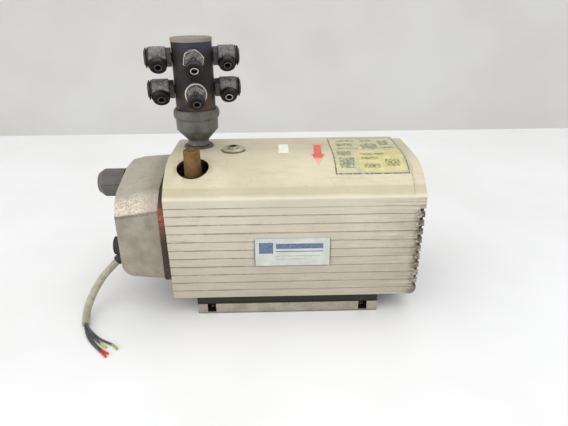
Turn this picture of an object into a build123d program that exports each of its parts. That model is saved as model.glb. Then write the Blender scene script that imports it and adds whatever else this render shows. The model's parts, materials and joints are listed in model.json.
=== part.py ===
"""Dry running rotary vane vacuum pump with its motor under one ribbed hood.

X runs along the shaft, from the silencer casting at -X to the fan at +X. Y is
across the pump, with the exhaust on the -Y side. Z is up. The origin is the
centre of the four mounting holes, on the underside of the base rails.
"""

import math
import os

from build123d import *

os.makedirs("parts", exist_ok=True)

# ---------------------------------------------------------------- driving sizes
# Hood
HOOD_X0 = -175.5
HOOD_LENGTH = 375.0
HOOD_X1 = HOOD_X0 + HOOD_LENGTH
HOOD_TOP = 235.6
HOOD_BOTTOM = 29.5
CROWN_FLAT = 46.0
CROWN_SAG = 6.4
CREASE_Y = 113.5
CREASE_Z = 205.5
SHOULDER_Y = 122.0
SHOULDER_Z = 195.0
RIB_COUNT = 10
RIB_TOP = 170.4
RIB_PITCH = 14.1
RIB_STEP = 0.7
GROOVE_DEPTH = 2.6
SEAM_Z = 181.5
SEAM_DEPTH = 1.0
JOGGLE_LENGTH = 18.0
JOGGLE_DEPTH = 4.0
NOTCH_LENGTH = 8.0
NOTCH_TAPER = 0.3
NOTCH_HEIGHT = 5.6
NOTCH_RISE = 0.6
EXHAUST_HOLE_R = 23.4
INLET_HOLE_R = 20.0
END_RADIUS = 10.0
HOOD_SCREW_X = -80.0
HOOD_SCREW_Y = -15.0
WASHER_R = 17.4
PLATE_LENGTH = 112.0
PLATE_HEIGHT = 45.0
PLATE_MIDDLE = (8.0, 109.5)

# Base
RAIL_X0 = -140.0
RAIL_X1 = 141.0
RAIL_Y = 115.0
RAIL_WIDTH = 32.0
RAIL_HEIGHT = 17.0
HOLE_SPACING_X = 236.0
HOLE_SPACING_Y = 194.0
HOLE_R = 4.5
SLOT_WIDTH = 13.0
POCKET_FLOOR = 3.0
RAIL_SCREW_X = 62.0
RAIL_SCREW_R = 3.0
DRAIN_X = 20.0
DRAIN_R = 42.0

# Pump unit: bore, rotor and vanes
AXIS_Z = 122.0
ECCENTRICITY = 6.5
BORE_R = 52.0
ROTOR_R = 45.3
VANE_COUNT = 7
VANE_THICKNESS = 4.0
VANE_HEIGHT = 26.0
VANE_TIP_R = 45.1
VANE_SLOT_GAP = 0.1
FIRST_VANE = 90.0 + 360.0 / VANE_COUNT / 4
FLANGE_X0 = -185.0
FLANGE_X1 = -176.0
CYLINDER_X0 = -166.0
CYLINDER_X1 = -91.0
END_GAP = 0.1
RUNNING_GAP = 0.08
COVER_X1 = -73.0
TIE_CIRCLE_R = 61.5
TIE_COUNT = 6
TIE_ANGLE = 20.0
TIE_HEAD_R = 5.0
TIE_HEAD_HEIGHT = 6.0
TIE_R = 3.0
TIE_END_X = CYLINDER_X1 - 14.0
FLANGE_GROW = 5.6
PORT_X = -138.0
EXHAUST_X = -136.0
EXHAUST_Y = -76.0
EXHAUST_TILT = 24.0
INLET_Y = 15.0

# Shaft and bearings
SHAFT_R = 15.0
BEARING_BORE_R = 12.5
BEARING_R = 26.0
BEARING_WIDTH = 15.0

# Motor
FRAME_X1 = 112.0
FRAME_R = 78.0
CORE_X0 = -40.0
CORE_X1 = 70.0
STATOR_R = 66.0
GAP_R = 40.2
SHIELD_X1 = 126.0
FAN_X0 = 136.0
FAN_X1 = 158.0

# Silencer casting on the inlet end
CASTING_X0 = -250.0
CASTING_X1 = FLANGE_X0
CASTING_WALL = 6.0
CASTING_GROW = 4.0
CASTING_BOTTOM = 65.5
FACET_Z = 167.0
CORNER_RADIUS = 11.0
UNDERSIDE_RADIUS = 22.0
FILTER_PLACE = (55.0, 148.0)
FILTER_R = 31.0
FILTER_BORE_R = 15.0
BLOCK_X = CASTING_X0 + 44.0
BOSS_X = CASTING_X0 - 4.0
SCREW_PLACES = ((-98, 168), (98, 168), (-98, 84), (98, 84))
SCREW_LENGTH = CASTING_X1 - CASTING_X0
KNOB_Z = 180.0
GLAND_Y = -50.0
GLAND_Z = 90.0
NUT_R = 17.5
NUT_HEIGHT = 25.0
NUT_STEP = 3.0

# Distributor on the inlet
TURN = 10.0
MANIFOLD_R = 30.5
ROWS = (374.0, 327.0)
RING_R = 16.0
JOURNAL_R = 6.5
RING_START = 38.3
PORT_REACH = 21.0
PORT_R = 12.5
FRONT_START = 47.0
SIDE_DROP = 35.0
FRONT_DROP = 36.0
SOCKET_DEPTH = 13.0
TUBE_R = 4.1
COLLET_R = 5.9

# Supply cable
CABLE_D = 11.6
CORE_D = 3.2


def yz(x):
    """Plane across the pump at x, with local x along Y and local y along Z."""
    return Plane(origin=(x, 0, 0), x_dir=(0, 1, 0), z_dir=(1, 0, 0))


def shaft_plane(x):
    """Plane across the pump at x, centred on the shaft."""
    return Plane(origin=(x, 0, AXIS_Z), x_dir=(0, 1, 0), z_dir=(1, 0, 0))


def save(piece, name):
    """Label a finished piece and write it to its own STEP file."""
    piece.label = name
    export_step(piece, f"parts/{name}.step")


# ------------------------------------------------------------------------- hood
def rib_points():
    """Outer line of one side below the shoulder: ten overlapping boards."""
    points = []
    for rib in range(RIB_COUNT):
        z = RIB_TOP - rib * RIB_PITCH
        y = SHOULDER_Y - RIB_STEP * rib
        points += [(y, z), (y - GROOVE_DEPTH, z), (y - RIB_STEP, z - GROOVE_DEPTH)]
    return points


def crown_arc(start, end, sag):
    """Arc from start to end, bulging outwards by sag."""
    mid_y = (start[0] + end[0]) / 2
    mid_z = (start[1] + end[1]) / 2
    run = math.dist(start, end)
    normal_y = (start[1] - end[1]) / run
    normal_z = (end[0] - start[0]) / run
    return ThreePointArc(start, (mid_y + sag * normal_y, mid_z + sag * normal_z), end)


last_rib_y = SHOULDER_Y - RIB_STEP * RIB_COUNT
inner_top = HOOD_TOP - 5.4
inner_bottom = HOOD_BOTTOM + 3.5
cavity_y = last_rib_y - 4.5
lip_y = cavity_y - 9.0

with BuildPart() as hood_cover:
    with BuildSketch(yz(HOOD_X0)):
        with BuildLine():
            Line((0, HOOD_TOP), (CROWN_FLAT, HOOD_TOP))
            crown_arc((CROWN_FLAT, HOOD_TOP), (CREASE_Y, CREASE_Z), CROWN_SAG)
            Polyline(
                (CREASE_Y, CREASE_Z),
                (SHOULDER_Y, SHOULDER_Z),
                (SHOULDER_Y, SEAM_Z + SEAM_DEPTH),
                (SHOULDER_Y - SEAM_DEPTH, SEAM_Z),
                (SHOULDER_Y, SEAM_Z - SEAM_DEPTH),
                *rib_points(),
                (last_rib_y, HOOD_BOTTOM),
                (lip_y, HOOD_BOTTOM),
                (lip_y, inner_bottom),
                (cavity_y, inner_bottom),
                (SHOULDER_Y - 5.0, SHOULDER_Z - 3.0),
                (CREASE_Y - 3.0, CREASE_Z - 4.0),
            )
            crown_arc((CROWN_FLAT - 1, inner_top), (CREASE_Y - 3.0, CREASE_Z - 4.0), CROWN_SAG)
            Polyline((CROWN_FLAT - 1, inner_top), (0, inner_top), (0, HOOD_TOP))
        make_face()
        mirror(about=Plane.YZ)
    extrude(amount=HOOD_LENGTH)
    # the crown steps down at the fan end
    with BuildSketch(yz(HOOD_X1 - JOGGLE_LENGTH)):
        with BuildLine():
            low = HOOD_TOP - JOGGLE_DEPTH
            Line((0, low), (CROWN_FLAT, low))
            crown_arc((CROWN_FLAT, low), (CREASE_Y - 1.0, CREASE_Z - 1.2), CROWN_SAG)
            Polyline(
                (CREASE_Y - 1.0, CREASE_Z - 1.2),
                (SHOULDER_Y, SHOULDER_Z),
                (SHOULDER_Y + 5, SHOULDER_Z),
                (SHOULDER_Y + 5, HOOD_TOP + 5),
                (0, HOOD_TOP + 5),
                (0, low),
            )
        make_face()
        mirror(about=Plane.YZ)
    extrude(amount=JOGGLE_LENGTH, mode=Mode.SUBTRACT)
    # one open notch in each board at the fan end
    for rib in range(RIB_COUNT):
        notch_length = NOTCH_LENGTH - NOTCH_TAPER * rib
        notch_z = RIB_TOP - rib * RIB_PITCH + NOTCH_RISE + NOTCH_HEIGHT / 2
        for side in (-1, 1):
            with Locations((HOOD_X1 - notch_length / 2, side * (SHOULDER_Y - 6), notch_z)):
                Box(notch_length, 20, NOTCH_HEIGHT, mode=Mode.SUBTRACT)
    # exhaust opening, inlet opening and screw hole through the crown
    with Locations(Location((EXHAUST_X, EXHAUST_Y, HOOD_TOP - 9), (EXHAUST_TILT, 0, 0))):
        Cylinder(EXHAUST_HOLE_R, 40, mode=Mode.SUBTRACT)
    with Locations((PORT_X, INLET_Y, HOOD_TOP)):
        Cylinder(INLET_HOLE_R, 30, mode=Mode.SUBTRACT)
    with Locations((HOOD_SCREW_X, HOOD_SCREW_Y, HOOD_TOP)):
        Cylinder(4.3, 30, mode=Mode.SUBTRACT)
    # rounded lower corner at the fan end
    with BuildSketch(Plane.XZ):
        with Locations((HOOD_X1, HOOD_BOTTOM)):
            Rectangle(2 * END_RADIUS, 2 * END_RADIUS)
        with Locations((HOOD_X1 - END_RADIUS, HOOD_BOTTOM + END_RADIUS)):
            Circle(END_RADIUS, mode=Mode.SUBTRACT)
    extrude(amount=SHOULDER_Y + 5, both=True, mode=Mode.SUBTRACT)
save(hood_cover.part, "hood_cover")

with BuildPart() as hood_screw:
    # dished washer with a socket screw through its middle
    with BuildSketch(Plane.XZ.offset(-HOOD_SCREW_Y)):
        with Locations((HOOD_SCREW_X, HOOD_TOP)):
            Polygon(
                (0, -12), (3.8, -12), (3.8, 0), (WASHER_R - 0.6, 0),
                (WASHER_R, 0.8), (WASHER_R, 2.6), (WASHER_R - 1.4, 4.6), (WASHER_R - 4.4, 5.6),
                (WASHER_R - 7.6, 4.4), (8.6, 4.0), (7.4, 6.2), (6.4, 7.0), (0, 7.0),
                align=None,
            )
    revolve(axis=Axis((HOOD_SCREW_X, HOOD_SCREW_Y, 0), (0, 0, 1)))
    with BuildSketch(Plane.XY.offset(HOOD_TOP + 7.0)):
        with Locations((HOOD_SCREW_X, HOOD_SCREW_Y)):
            RegularPolygon(4.6, 6)
    extrude(amount=-4.0, mode=Mode.SUBTRACT)
save(hood_screw.part, "hood_screw")

with BuildPart() as name_plate:
    # thin plate across five boards of the front side
    with BuildSketch(Plane.XZ.offset(SHOULDER_Y - RIB_STEP * 3)):
        with Locations(PLATE_MIDDLE):
            RectangleRounded(PLATE_LENGTH, PLATE_HEIGHT, 2)
    extrude(amount=0.8)
save(name_plate.part, "name_plate")

# ------------------------------------------------------------------------- base
with BuildPart() as base_plate:
    middle_x = (RAIL_X0 + RAIL_X1) / 2
    plate_length = RAIL_X1 - RAIL_X0
    plate_half = RAIL_Y - 2.0
    with BuildSketch(yz(RAIL_X0)):
        plate_outline = [
            (-plate_half, RAIL_HEIGHT),
            (-plate_half, HOOD_BOTTOM),
            (plate_half, HOOD_BOTTOM),
            (plate_half, RAIL_HEIGHT),
            (plate_half - 28, RAIL_HEIGHT),
            (plate_half - 28, RAIL_HEIGHT + 3),
            (plate_half - 3, RAIL_HEIGHT + 3),
            (plate_half - 3, HOOD_BOTTOM - 3),
            (3 - plate_half, HOOD_BOTTOM - 3),
            (3 - plate_half, RAIL_HEIGHT + 3),
            (28 - plate_half, RAIL_HEIGHT + 3),
            (28 - plate_half, RAIL_HEIGHT),
        ]
        Polygon(*plate_outline, align=None)
    extrude(amount=plate_length)
    with Locations((DRAIN_X, 0, HOOD_BOTTOM)):
        Cylinder(DRAIN_R, 20, mode=Mode.SUBTRACT)
    with Locations((0, 0, RAIL_HEIGHT)):
        with GridLocations(2 * RAIL_SCREW_X, HOLE_SPACING_Y, 2, 2):
            Cylinder(RAIL_SCREW_R + 0.1, 20, mode=Mode.SUBTRACT)
save(base_plate.part, "base_plate")

for side, name in ((-1, "base_rail_front"), (1, "base_rail_rear")):
    with BuildPart() as rail:
        with BuildSketch():
            with Locations((middle_x, side * (RAIL_Y - RAIL_WIDTH / 2))):
                RectangleRounded(plate_length, RAIL_WIDTH, 2.5)
        extrude(amount=RAIL_HEIGHT)
        # pocket open to the outside over each mounting hole, with a floor left under it
        for end in (-1, 1):
            with BuildSketch(Plane.XY.offset(POCKET_FLOOR)):
                with Locations((end * HOLE_SPACING_X / 2, side * HOLE_SPACING_Y / 2)):
                    Circle(SLOT_WIDTH / 2)
                with Locations((end * HOLE_SPACING_X / 2, side * (HOLE_SPACING_Y / 2 + 12))):
                    Rectangle(SLOT_WIDTH, 24)
            extrude(amount=RAIL_HEIGHT, mode=Mode.SUBTRACT)
            with Locations((end * HOLE_SPACING_X / 2, side * HOLE_SPACING_Y / 2, 2)):
                Cylinder(HOLE_R, 10, mode=Mode.SUBTRACT)
            with Locations((end * RAIL_SCREW_X, side * HOLE_SPACING_Y / 2, 8)):
                Cylinder(RAIL_SCREW_R + 0.1, 40, mode=Mode.SUBTRACT)
            with Locations((end * RAIL_SCREW_X, side * HOLE_SPACING_Y / 2, 3)):
                Cylinder(6.2, 6.1, mode=Mode.SUBTRACT)
    save(rail.part, name)

with BuildPart() as rail_screws:
    with BuildSketch(Plane.XY.offset(1.0)):
        with GridLocations(2 * RAIL_SCREW_X, HOLE_SPACING_Y, 2, 2):
            RegularPolygon(5.7, 6)
    extrude(amount=5.0)
    with BuildSketch(Plane.XY.offset(6.0)):
        with GridLocations(2 * RAIL_SCREW_X, HOLE_SPACING_Y, 2, 2):
            Circle(RAIL_SCREW_R)
    extrude(amount=RAIL_HEIGHT)
save(rail_screws.part, "rail_screws")

# -------------------------------------------------------------------- pump unit
def end_outline(grow):
    """Corner points of the casting's end outline, +Y half, moved out by grow."""
    return [
        (0, 213 + grow),
        (18, 213 + grow),
        (86 + grow * 0.8, 197 + grow * 0.8),
        (104 + grow, 183 + grow * 0.4),
        (112 + grow, FACET_Z + grow * 1.3),
        (112 + grow, CASTING_BOTTOM - grow),
        (0, CASTING_BOTTOM - grow),
    ]


with BuildPart() as pump_flange:
    with BuildSketch(yz(FLANGE_X0)):
        Polygon(*end_outline(FLANGE_GROW), align=None)
        mirror(about=Plane.YZ)
        fillet(vertices(), CORNER_RADIUS)
    extrude(amount=FLANGE_X1 - FLANGE_X0)
    with BuildSketch(shaft_plane(FLANGE_X1)):
        Circle(72)
    extrude(amount=CYLINDER_X0 - FLANGE_X1)
    with BuildSketch(shaft_plane(FLANGE_X0)):
        Circle(BEARING_R)
    extrude(amount=BEARING_WIDTH, mode=Mode.SUBTRACT)
    with BuildSketch(shaft_plane(FLANGE_X0)):
        Circle(SHAFT_R + RUNNING_GAP)
    extrude(amount=40, mode=Mode.SUBTRACT)
    # passages that carry the air from the casting to the cylinder
    for passage_y in (-58, 58):
        with BuildSketch(yz(FLANGE_X0)):
            with Locations((passage_y, AXIS_Z - 10)):
                SlotCenterToCenter(30, 16, rotation=90)
        extrude(amount=5, mode=Mode.SUBTRACT)

with BuildPart() as pump_cylinder:
    with BuildSketch(shaft_plane(CYLINDER_X0)):
        with Locations((0, -ECCENTRICITY / 2)):
            Circle(70)
    extrude(amount=CYLINDER_X1 - CYLINDER_X0)
    # risers of the two ports
    with BuildSketch(Plane.XY.offset(AXIS_Z)):
        with Locations((EXHAUST_X, EXHAUST_Y)):
            Circle(21)
    extrude(amount=90)
    with BuildSketch(Plane.XY.offset(AXIS_Z + 30)):
        with Locations((PORT_X, INLET_Y)):
            Circle(19.5)
    extrude(amount=70)
    with BuildSketch(shaft_plane(CYLINDER_X0)):
        with Locations((0, -ECCENTRICITY)):
            Circle(BORE_R)
    extrude(amount=CYLINDER_X1 - CYLINDER_X0, mode=Mode.SUBTRACT)
    with Locations((EXHAUST_X, EXHAUST_Y, AXIS_Z + 45)):
        Cylinder(9.0, 110, mode=Mode.SUBTRACT)
    with Locations((EXHAUST_X, EXHAUST_Y / 2 - 10, AXIS_Z - 2)):
        Cylinder(8.0, 60, rotation=(90, 0, 0), mode=Mode.SUBTRACT)
    with Locations((PORT_X, INLET_Y, AXIS_Z + 80)):
        Cylinder(12.0, 80, mode=Mode.SUBTRACT)

with BuildPart() as pump_side_cover:
    with BuildSketch(shaft_plane(CYLINDER_X1)):
        Circle(74)
    extrude(amount=COVER_X1 - CYLINDER_X1)
    with BuildSketch(Plane.XY.offset(AXIS_Z + 60)):
        with Locations((HOOD_SCREW_X, HOOD_SCREW_Y)):
            Rectangle(13.9, 14)
    extrude(amount=inner_top - 2 - AXIS_Z - 60)
    with BuildSketch(shaft_plane(CYLINDER_X1)):
        Circle(SHAFT_R + RUNNING_GAP)
    extrude(amount=COVER_X1 - CYLINDER_X1, mode=Mode.SUBTRACT)
    with Locations((HOOD_SCREW_X, HOOD_SCREW_Y, inner_top)):
        Cylinder(4.0, 36, mode=Mode.SUBTRACT)

with BuildPart() as cylinder_screws:
    # socket screws, heads on the motor side of the side cover
    with BuildSketch(shaft_plane(COVER_X1 - TIE_HEAD_HEIGHT)):
        with PolarLocations(TIE_CIRCLE_R, TIE_COUNT, start_angle=TIE_ANGLE):
            Circle(TIE_HEAD_R)
    extrude(amount=TIE_HEAD_HEIGHT)
    with BuildSketch(shaft_plane(TIE_END_X)):
        with PolarLocations(TIE_CIRCLE_R, TIE_COUNT, start_angle=TIE_ANGLE):
            Circle(TIE_R)
    extrude(amount=COVER_X1 - TIE_HEAD_HEIGHT - TIE_END_X)

for host in (pump_side_cover, pump_cylinder):
    with host:
        with BuildSketch(shaft_plane(COVER_X1 - TIE_HEAD_HEIGHT)):
            with PolarLocations(TIE_CIRCLE_R, TIE_COUNT, start_angle=TIE_ANGLE):
                Circle(TIE_HEAD_R + 0.1)
        extrude(amount=TIE_HEAD_HEIGHT, mode=Mode.SUBTRACT)
        with BuildSketch(shaft_plane(TIE_END_X - 0.2)):
            with PolarLocations(TIE_CIRCLE_R, TIE_COUNT, start_angle=TIE_ANGLE):
                Circle(TIE_R + 0.05)
        extrude(amount=COVER_X1 - TIE_HEAD_HEIGHT - TIE_END_X + 0.2, mode=Mode.SUBTRACT)
save(cylinder_screws.part, "cylinder_screws")
save(pump_cylinder.part, "pump_cylinder")
save(pump_side_cover.part, "pump_side_cover")

# --------------------------------------------------------------- rotor and vanes
rotor_length = CYLINDER_X1 - CYLINDER_X0 - 2 * END_GAP
vane_mid_r = VANE_TIP_R - VANE_HEIGHT / 2
slot_floor_r = VANE_TIP_R - VANE_HEIGHT - 0.5
slot_mid_r = (slot_floor_r + ROTOR_R + 1) / 2
slot_length = ROTOR_R + 1 - slot_floor_r

with BuildPart() as pump_rotor:
    with BuildSketch(shaft_plane(CYLINDER_X0 + END_GAP)):
        Circle(ROTOR_R)
        Circle(SHAFT_R, mode=Mode.SUBTRACT)
        with PolarLocations(slot_mid_r, VANE_COUNT, start_angle=FIRST_VANE):
            Rectangle(slot_length, VANE_THICKNESS + 2 * VANE_SLOT_GAP, mode=Mode.SUBTRACT)
    extrude(amount=rotor_length)
save(pump_rotor.part, "pump_rotor")

for number in range(VANE_COUNT):
    angle = FIRST_VANE + number * 360.0 / VANE_COUNT
    with BuildPart() as vane:
        with BuildSketch(shaft_plane(CYLINDER_X0 + END_GAP)):
            with PolarLocations(vane_mid_r, 1, start_angle=angle):
                Rectangle(VANE_HEIGHT, VANE_THICKNESS)
        extrude(amount=rotor_length)
    save(vane.part, f"vane_{number + 1}")

with BuildPart() as rotor_shaft:
    shaft_start = FLANGE_X0 + 1
    with BuildSketch(shaft_plane(shaft_start)):
        Circle(BEARING_BORE_R)
    extrude(amount=FAN_X1 + 2 - shaft_start)
    with BuildSketch(shaft_plane(FLANGE_X0 + BEARING_WIDTH)):
        Circle(SHAFT_R)
    extrude(amount=FRAME_X1 - 3 - FLANGE_X0 - BEARING_WIDTH)
    chamfer(faces().sort_by(Axis.X)[0].edges(), 1)
    chamfer(faces().sort_by(Axis.X)[-1].edges(), 1)
save(rotor_shaft.part, "rotor_shaft")

bearing_starts = (FLANGE_X0, FRAME_X1 - 3)
with BuildPart() as bearing_outer_rings:
    for start in bearing_starts:
        with BuildSketch(shaft_plane(start)):
            Circle(BEARING_R)
            Circle(BEARING_R - 5, mode=Mode.SUBTRACT)
        extrude(amount=BEARING_WIDTH)
save(bearing_outer_rings.part, "bearing_outer_rings")

with BuildPart() as bearing_inner_rings:
    for start in bearing_starts:
        with BuildSketch(shaft_plane(start)):
            Circle(BEARING_BORE_R + 5)
            Circle(BEARING_BORE_R, mode=Mode.SUBTRACT)
        extrude(amount=BEARING_WIDTH)
save(bearing_inner_rings.part, "bearing_inner_rings")

# ------------------------------------------------------------------------ motor
with BuildPart() as motor_frame:
    with BuildSketch(shaft_plane(COVER_X1)):
        Circle(FRAME_R)
        with PolarLocations(FRAME_R + 3, 30, start_angle=6):
            Rectangle(10, 3)
        with Locations((0, 12 - AXIS_Z + 40)):
            Rectangle(120, 24)
        with Locations((-50, -62), (50, -62)):
            Rectangle(34, 2 * (AXIS_Z - HOOD_BOTTOM - 62))
        Circle(STATOR_R, mode=Mode.SUBTRACT)
        with Locations((0, 14 - AXIS_Z + 26)):
            Rectangle(60, 26, mode=Mode.SUBTRACT)
    extrude(amount=FRAME_X1 - COVER_X1)
save(motor_frame.part, "motor_frame")

STATOR_SLOTS = 24
with BuildPart() as stator_core:
    with BuildSketch(shaft_plane(CORE_X0)):
        Circle(STATOR_R)
        Circle(GAP_R, mode=Mode.SUBTRACT)
        with PolarLocations(GAP_R + 9.5, STATOR_SLOTS):
            Rectangle(15, 5, mode=Mode.SUBTRACT)
        with PolarLocations(GAP_R + 1, STATOR_SLOTS):
            Rectangle(4, 2, mode=Mode.SUBTRACT)
    extrude(amount=CORE_X1 - CORE_X0)
save(stator_core.part, "stator_core")

with BuildPart() as stator_windings:
    for start, length in ((CORE_X0 - 20, 20), (CORE_X1, 20)):
        with BuildSketch(shaft_plane(start)):
            Circle(61)
            Circle(43, mode=Mode.SUBTRACT)
        extrude(amount=length)
    fillet(edges().filter_by(GeomType.CIRCLE), 4)
    with BuildSketch(shaft_plane(CORE_X0 - 5)):
        with PolarLocations(GAP_R + 9.8, STATOR_SLOTS):
            Rectangle(13.4, 4.6)
    extrude(amount=CORE_X1 - CORE_X0 + 10)
save(stator_windings.part, "stator_windings")

with BuildPart() as motor_rotor_core:
    with BuildSketch(shaft_plane(CORE_X0)):
        Circle(GAP_R - 0.4)
    extrude(amount=CORE_X1 - CORE_X0)
    with BuildSketch(shaft_plane(CORE_X0 - 8)):
        Circle(36)
    extrude(amount=CORE_X1 - CORE_X0 + 16)
    with BuildSketch(shaft_plane(CORE_X0 - 8)):
        Circle(SHAFT_R)
    extrude(amount=CORE_X1 - CORE_X0 + 16, mode=Mode.SUBTRACT)
save(motor_rotor_core.part, "motor_rotor_core")

with BuildPart() as motor_end_shield:
    with BuildSketch(shaft_plane(FRAME_X1)):
        Circle(FRAME_R)
    extrude(amount=SHIELD_X1 - FRAME_X1)
    with BuildSketch(shaft_plane(FRAME_X1 - 3)):
        Circle(BEARING_R + 5)
    extrude(amount=3)
    with BuildSketch(shaft_plane(FRAME_X1 - 3)):
        Circle(BEARING_R)
    extrude(amount=BEARING_WIDTH, mode=Mode.SUBTRACT)
    with BuildSketch(shaft_plane(FRAME_X1 - 3)):
        Circle(BEARING_BORE_R + RUNNING_GAP)
    extrude(amount=30, mode=Mode.SUBTRACT)
save(motor_end_shield.part, "motor_end_shield")

with BuildPart() as cooling_fan:
    with BuildSketch(shaft_plane(FAN_X0)):
        Circle(72)
    extrude(amount=2.5)
    with BuildSketch(shaft_plane(FAN_X0)):
        with PolarLocations(46, 9):
            Rectangle(52, 2.5)
    extrude(amount=FAN_X1 - FAN_X0)
    with BuildSketch(shaft_plane(FAN_X0)):
        Circle(22)
    extrude(amount=FAN_X1 - FAN_X0)
    with BuildSketch(shaft_plane(FAN_X0)):
        Circle(BEARING_BORE_R)
    extrude(amount=FAN_X1 - FAN_X0, mode=Mode.SUBTRACT)
save(cooling_fan.part, "cooling_fan")

# fan guard: a cowl inside the hood's open end, closed by rings and spokes
GUARD_X0 = 166.0
GUARD_X1 = 199.2
GUARD_CENTRE_Z = 126.0


def guard_outline(inset):
    """Half of the cowl's outline, inset from the hood's inner wall."""
    return [
        (0, inner_top - inset),
        (CROWN_FLAT - inset, inner_top - inset),
        (100 - inset, SHOULDER_Z + 12.5 - inset),
        (SHOULDER_Y - 7 - inset, SHOULDER_Z - 6 - inset),
        (cavity_y - inset, inner_bottom + inset),
        (0, inner_bottom + inset),
    ]


with BuildPart() as fan_guard:
    with BuildSketch(yz(GUARD_X0)):
        Polygon(*guard_outline(0.6), align=None)
        mirror(about=Plane.YZ)
        with BuildSketch(mode=Mode.SUBTRACT):
            Polygon(*guard_outline(3.6), align=None)
            mirror(about=Plane.YZ)
    extrude(amount=GUARD_X1 - GUARD_X0)
    with BuildSketch(yz(GUARD_X1 - 3)):
        Polygon(*guard_outline(2.0), align=None)
        mirror(about=Plane.YZ)
        with Locations((0, GUARD_CENTRE_Z)):
            Circle(84, mode=Mode.SUBTRACT)
            for ring in reversed(range(7)):
                ring_r = 14 + ring * 12
                Circle(ring_r + 1.6)
                Circle(ring_r - 1.6, mode=Mode.SUBTRACT)
            with PolarLocations(48, 8, start_angle=22.5):
                Rectangle(78, 3.6)
            Circle(12)
    extrude(amount=3)
save(fan_guard.part, "fan_guard")

# ------------------------------------------------------------- silencer casting
with BuildPart() as silencer_housing:
    with BuildSketch(yz(CASTING_X0)):
        Polygon(*end_outline(0), align=None)
        mirror(about=Plane.YZ)
        fillet(vertices(), CORNER_RADIUS)
    with BuildSketch(yz(CASTING_X1)):
        Polygon(*end_outline(CASTING_GROW), align=None)
        mirror(about=Plane.YZ)
        fillet(vertices(), CORNER_RADIUS)
    loft()
    # large radius where the end face meets the underside
    with BuildSketch(Plane.XZ):
        with Locations((CASTING_X0 + 10, CASTING_BOTTOM + 10)):
            Rectangle(24, 24)
        with Locations((CASTING_X0 + UNDERSIDE_RADIUS, CASTING_BOTTOM + UNDERSIDE_RADIUS)):
            Circle(UNDERSIDE_RADIUS, mode=Mode.SUBTRACT)
    extrude(amount=130, both=True, mode=Mode.SUBTRACT)
    fillet(faces().filter_by(Plane.YZ).sort_by(Axis.X)[0].edges().filter_by(
        lambda edge: edge.center().Z > 95), 5)
    # hollow inside, open towards the pump
    with BuildSketch(yz(CASTING_X0 + CASTING_WALL)):
        Polygon(*end_outline(-CASTING_WALL), align=None)
        mirror(about=Plane.YZ)
        fillet(vertices(), 6)
    with BuildSketch(yz(CASTING_X1)):
        Polygon(*end_outline(CASTING_GROW - CASTING_WALL), align=None)
        mirror(about=Plane.YZ)
        fillet(vertices(), 6)
    loft(mode=Mode.SUBTRACT)
    # lower inner corner that carries the large radius, and the partition
    with Locations((CASTING_X0 + 19, 0, CASTING_BOTTOM + 10)):
        Box(22, 212, 8)
    with Locations(((CASTING_X0 + CASTING_X1) / 2 + 2, 0, 105)):
        Box(CASTING_X1 - CASTING_X0 - 8, 212, 6)
    # pads that carry the terminal block and the filter cartridge
    with Locations((BLOCK_X, GLAND_Y, 68)):
        Box(20, 66, 8)
    with BuildSketch(yz(CASTING_X0 + 3)):
        with Locations(FILTER_PLACE):
            Circle(20)
    extrude(amount=6)
    # bosses for the four housing screws
    for place_y, place_z in SCREW_PLACES:
        with BuildSketch(yz(CASTING_X0 + 2)):
            with Locations((place_y, place_z)):
                Circle(10)
        extrude(amount=SCREW_LENGTH - 2)
    for place_y, place_z in SCREW_PLACES:
        with BuildSketch(yz(CASTING_X0 - 1)):
            with Locations((place_y, place_z)):
                Circle(7)
        extrude(amount=11, mode=Mode.SUBTRACT)
        with BuildSketch(yz(CASTING_X0 - 1)):
            with Locations((place_y, place_z)):
                Circle(4.2)
        extrude(amount=80, mode=Mode.SUBTRACT)
    # regulator boss and cable boss on the end face
    with BuildSketch(yz(BOSS_X)):
        with Locations((0, KNOB_Z)):
            Circle(22)
    extrude(amount=12)
    with BuildSketch(yz(BOSS_X)):
        with Locations((0, KNOB_Z)):
            Circle(14.2)
    extrude(amount=30, mode=Mode.SUBTRACT)
    with BuildSketch(yz(CASTING_X0)):
        with Locations((GLAND_Y, GLAND_Z)):
            Circle(19)
    extrude(amount=16)
    with BuildSketch(yz(CASTING_X0 - 1)):
        with Locations((GLAND_Y, GLAND_Z)):
            Circle(8)
    extrude(amount=26, mode=Mode.SUBTRACT)
save(silencer_housing.part, "silencer_housing")

with pump_flange:
    for place_y, place_z in SCREW_PLACES:
        with BuildSketch(yz(FLANGE_X0)):
            with Locations((place_y, place_z)):
                Circle(4.05)
        extrude(amount=9, mode=Mode.SUBTRACT)
save(pump_flange.part, "pump_flange")

with BuildPart() as housing_screws:
    for place_y, place_z in SCREW_PLACES:
        with BuildSketch(yz(CASTING_X0 + 2)):
            with Locations((place_y, place_z)):
                Circle(6.5)
        extrude(amount=8)
        with BuildSketch(yz(CASTING_X0 + 10)):
            with Locations((place_y, place_z)):
                Circle(4)
        extrude(amount=SCREW_LENGTH - 2)
        with BuildSketch(yz(CASTING_X0 + 2)):
            with Locations((place_y, place_z)):
                RegularPolygon(3.6, 6)
        extrude(amount=5, mode=Mode.SUBTRACT)
save(housing_screws.part, "housing_screws")

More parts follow.
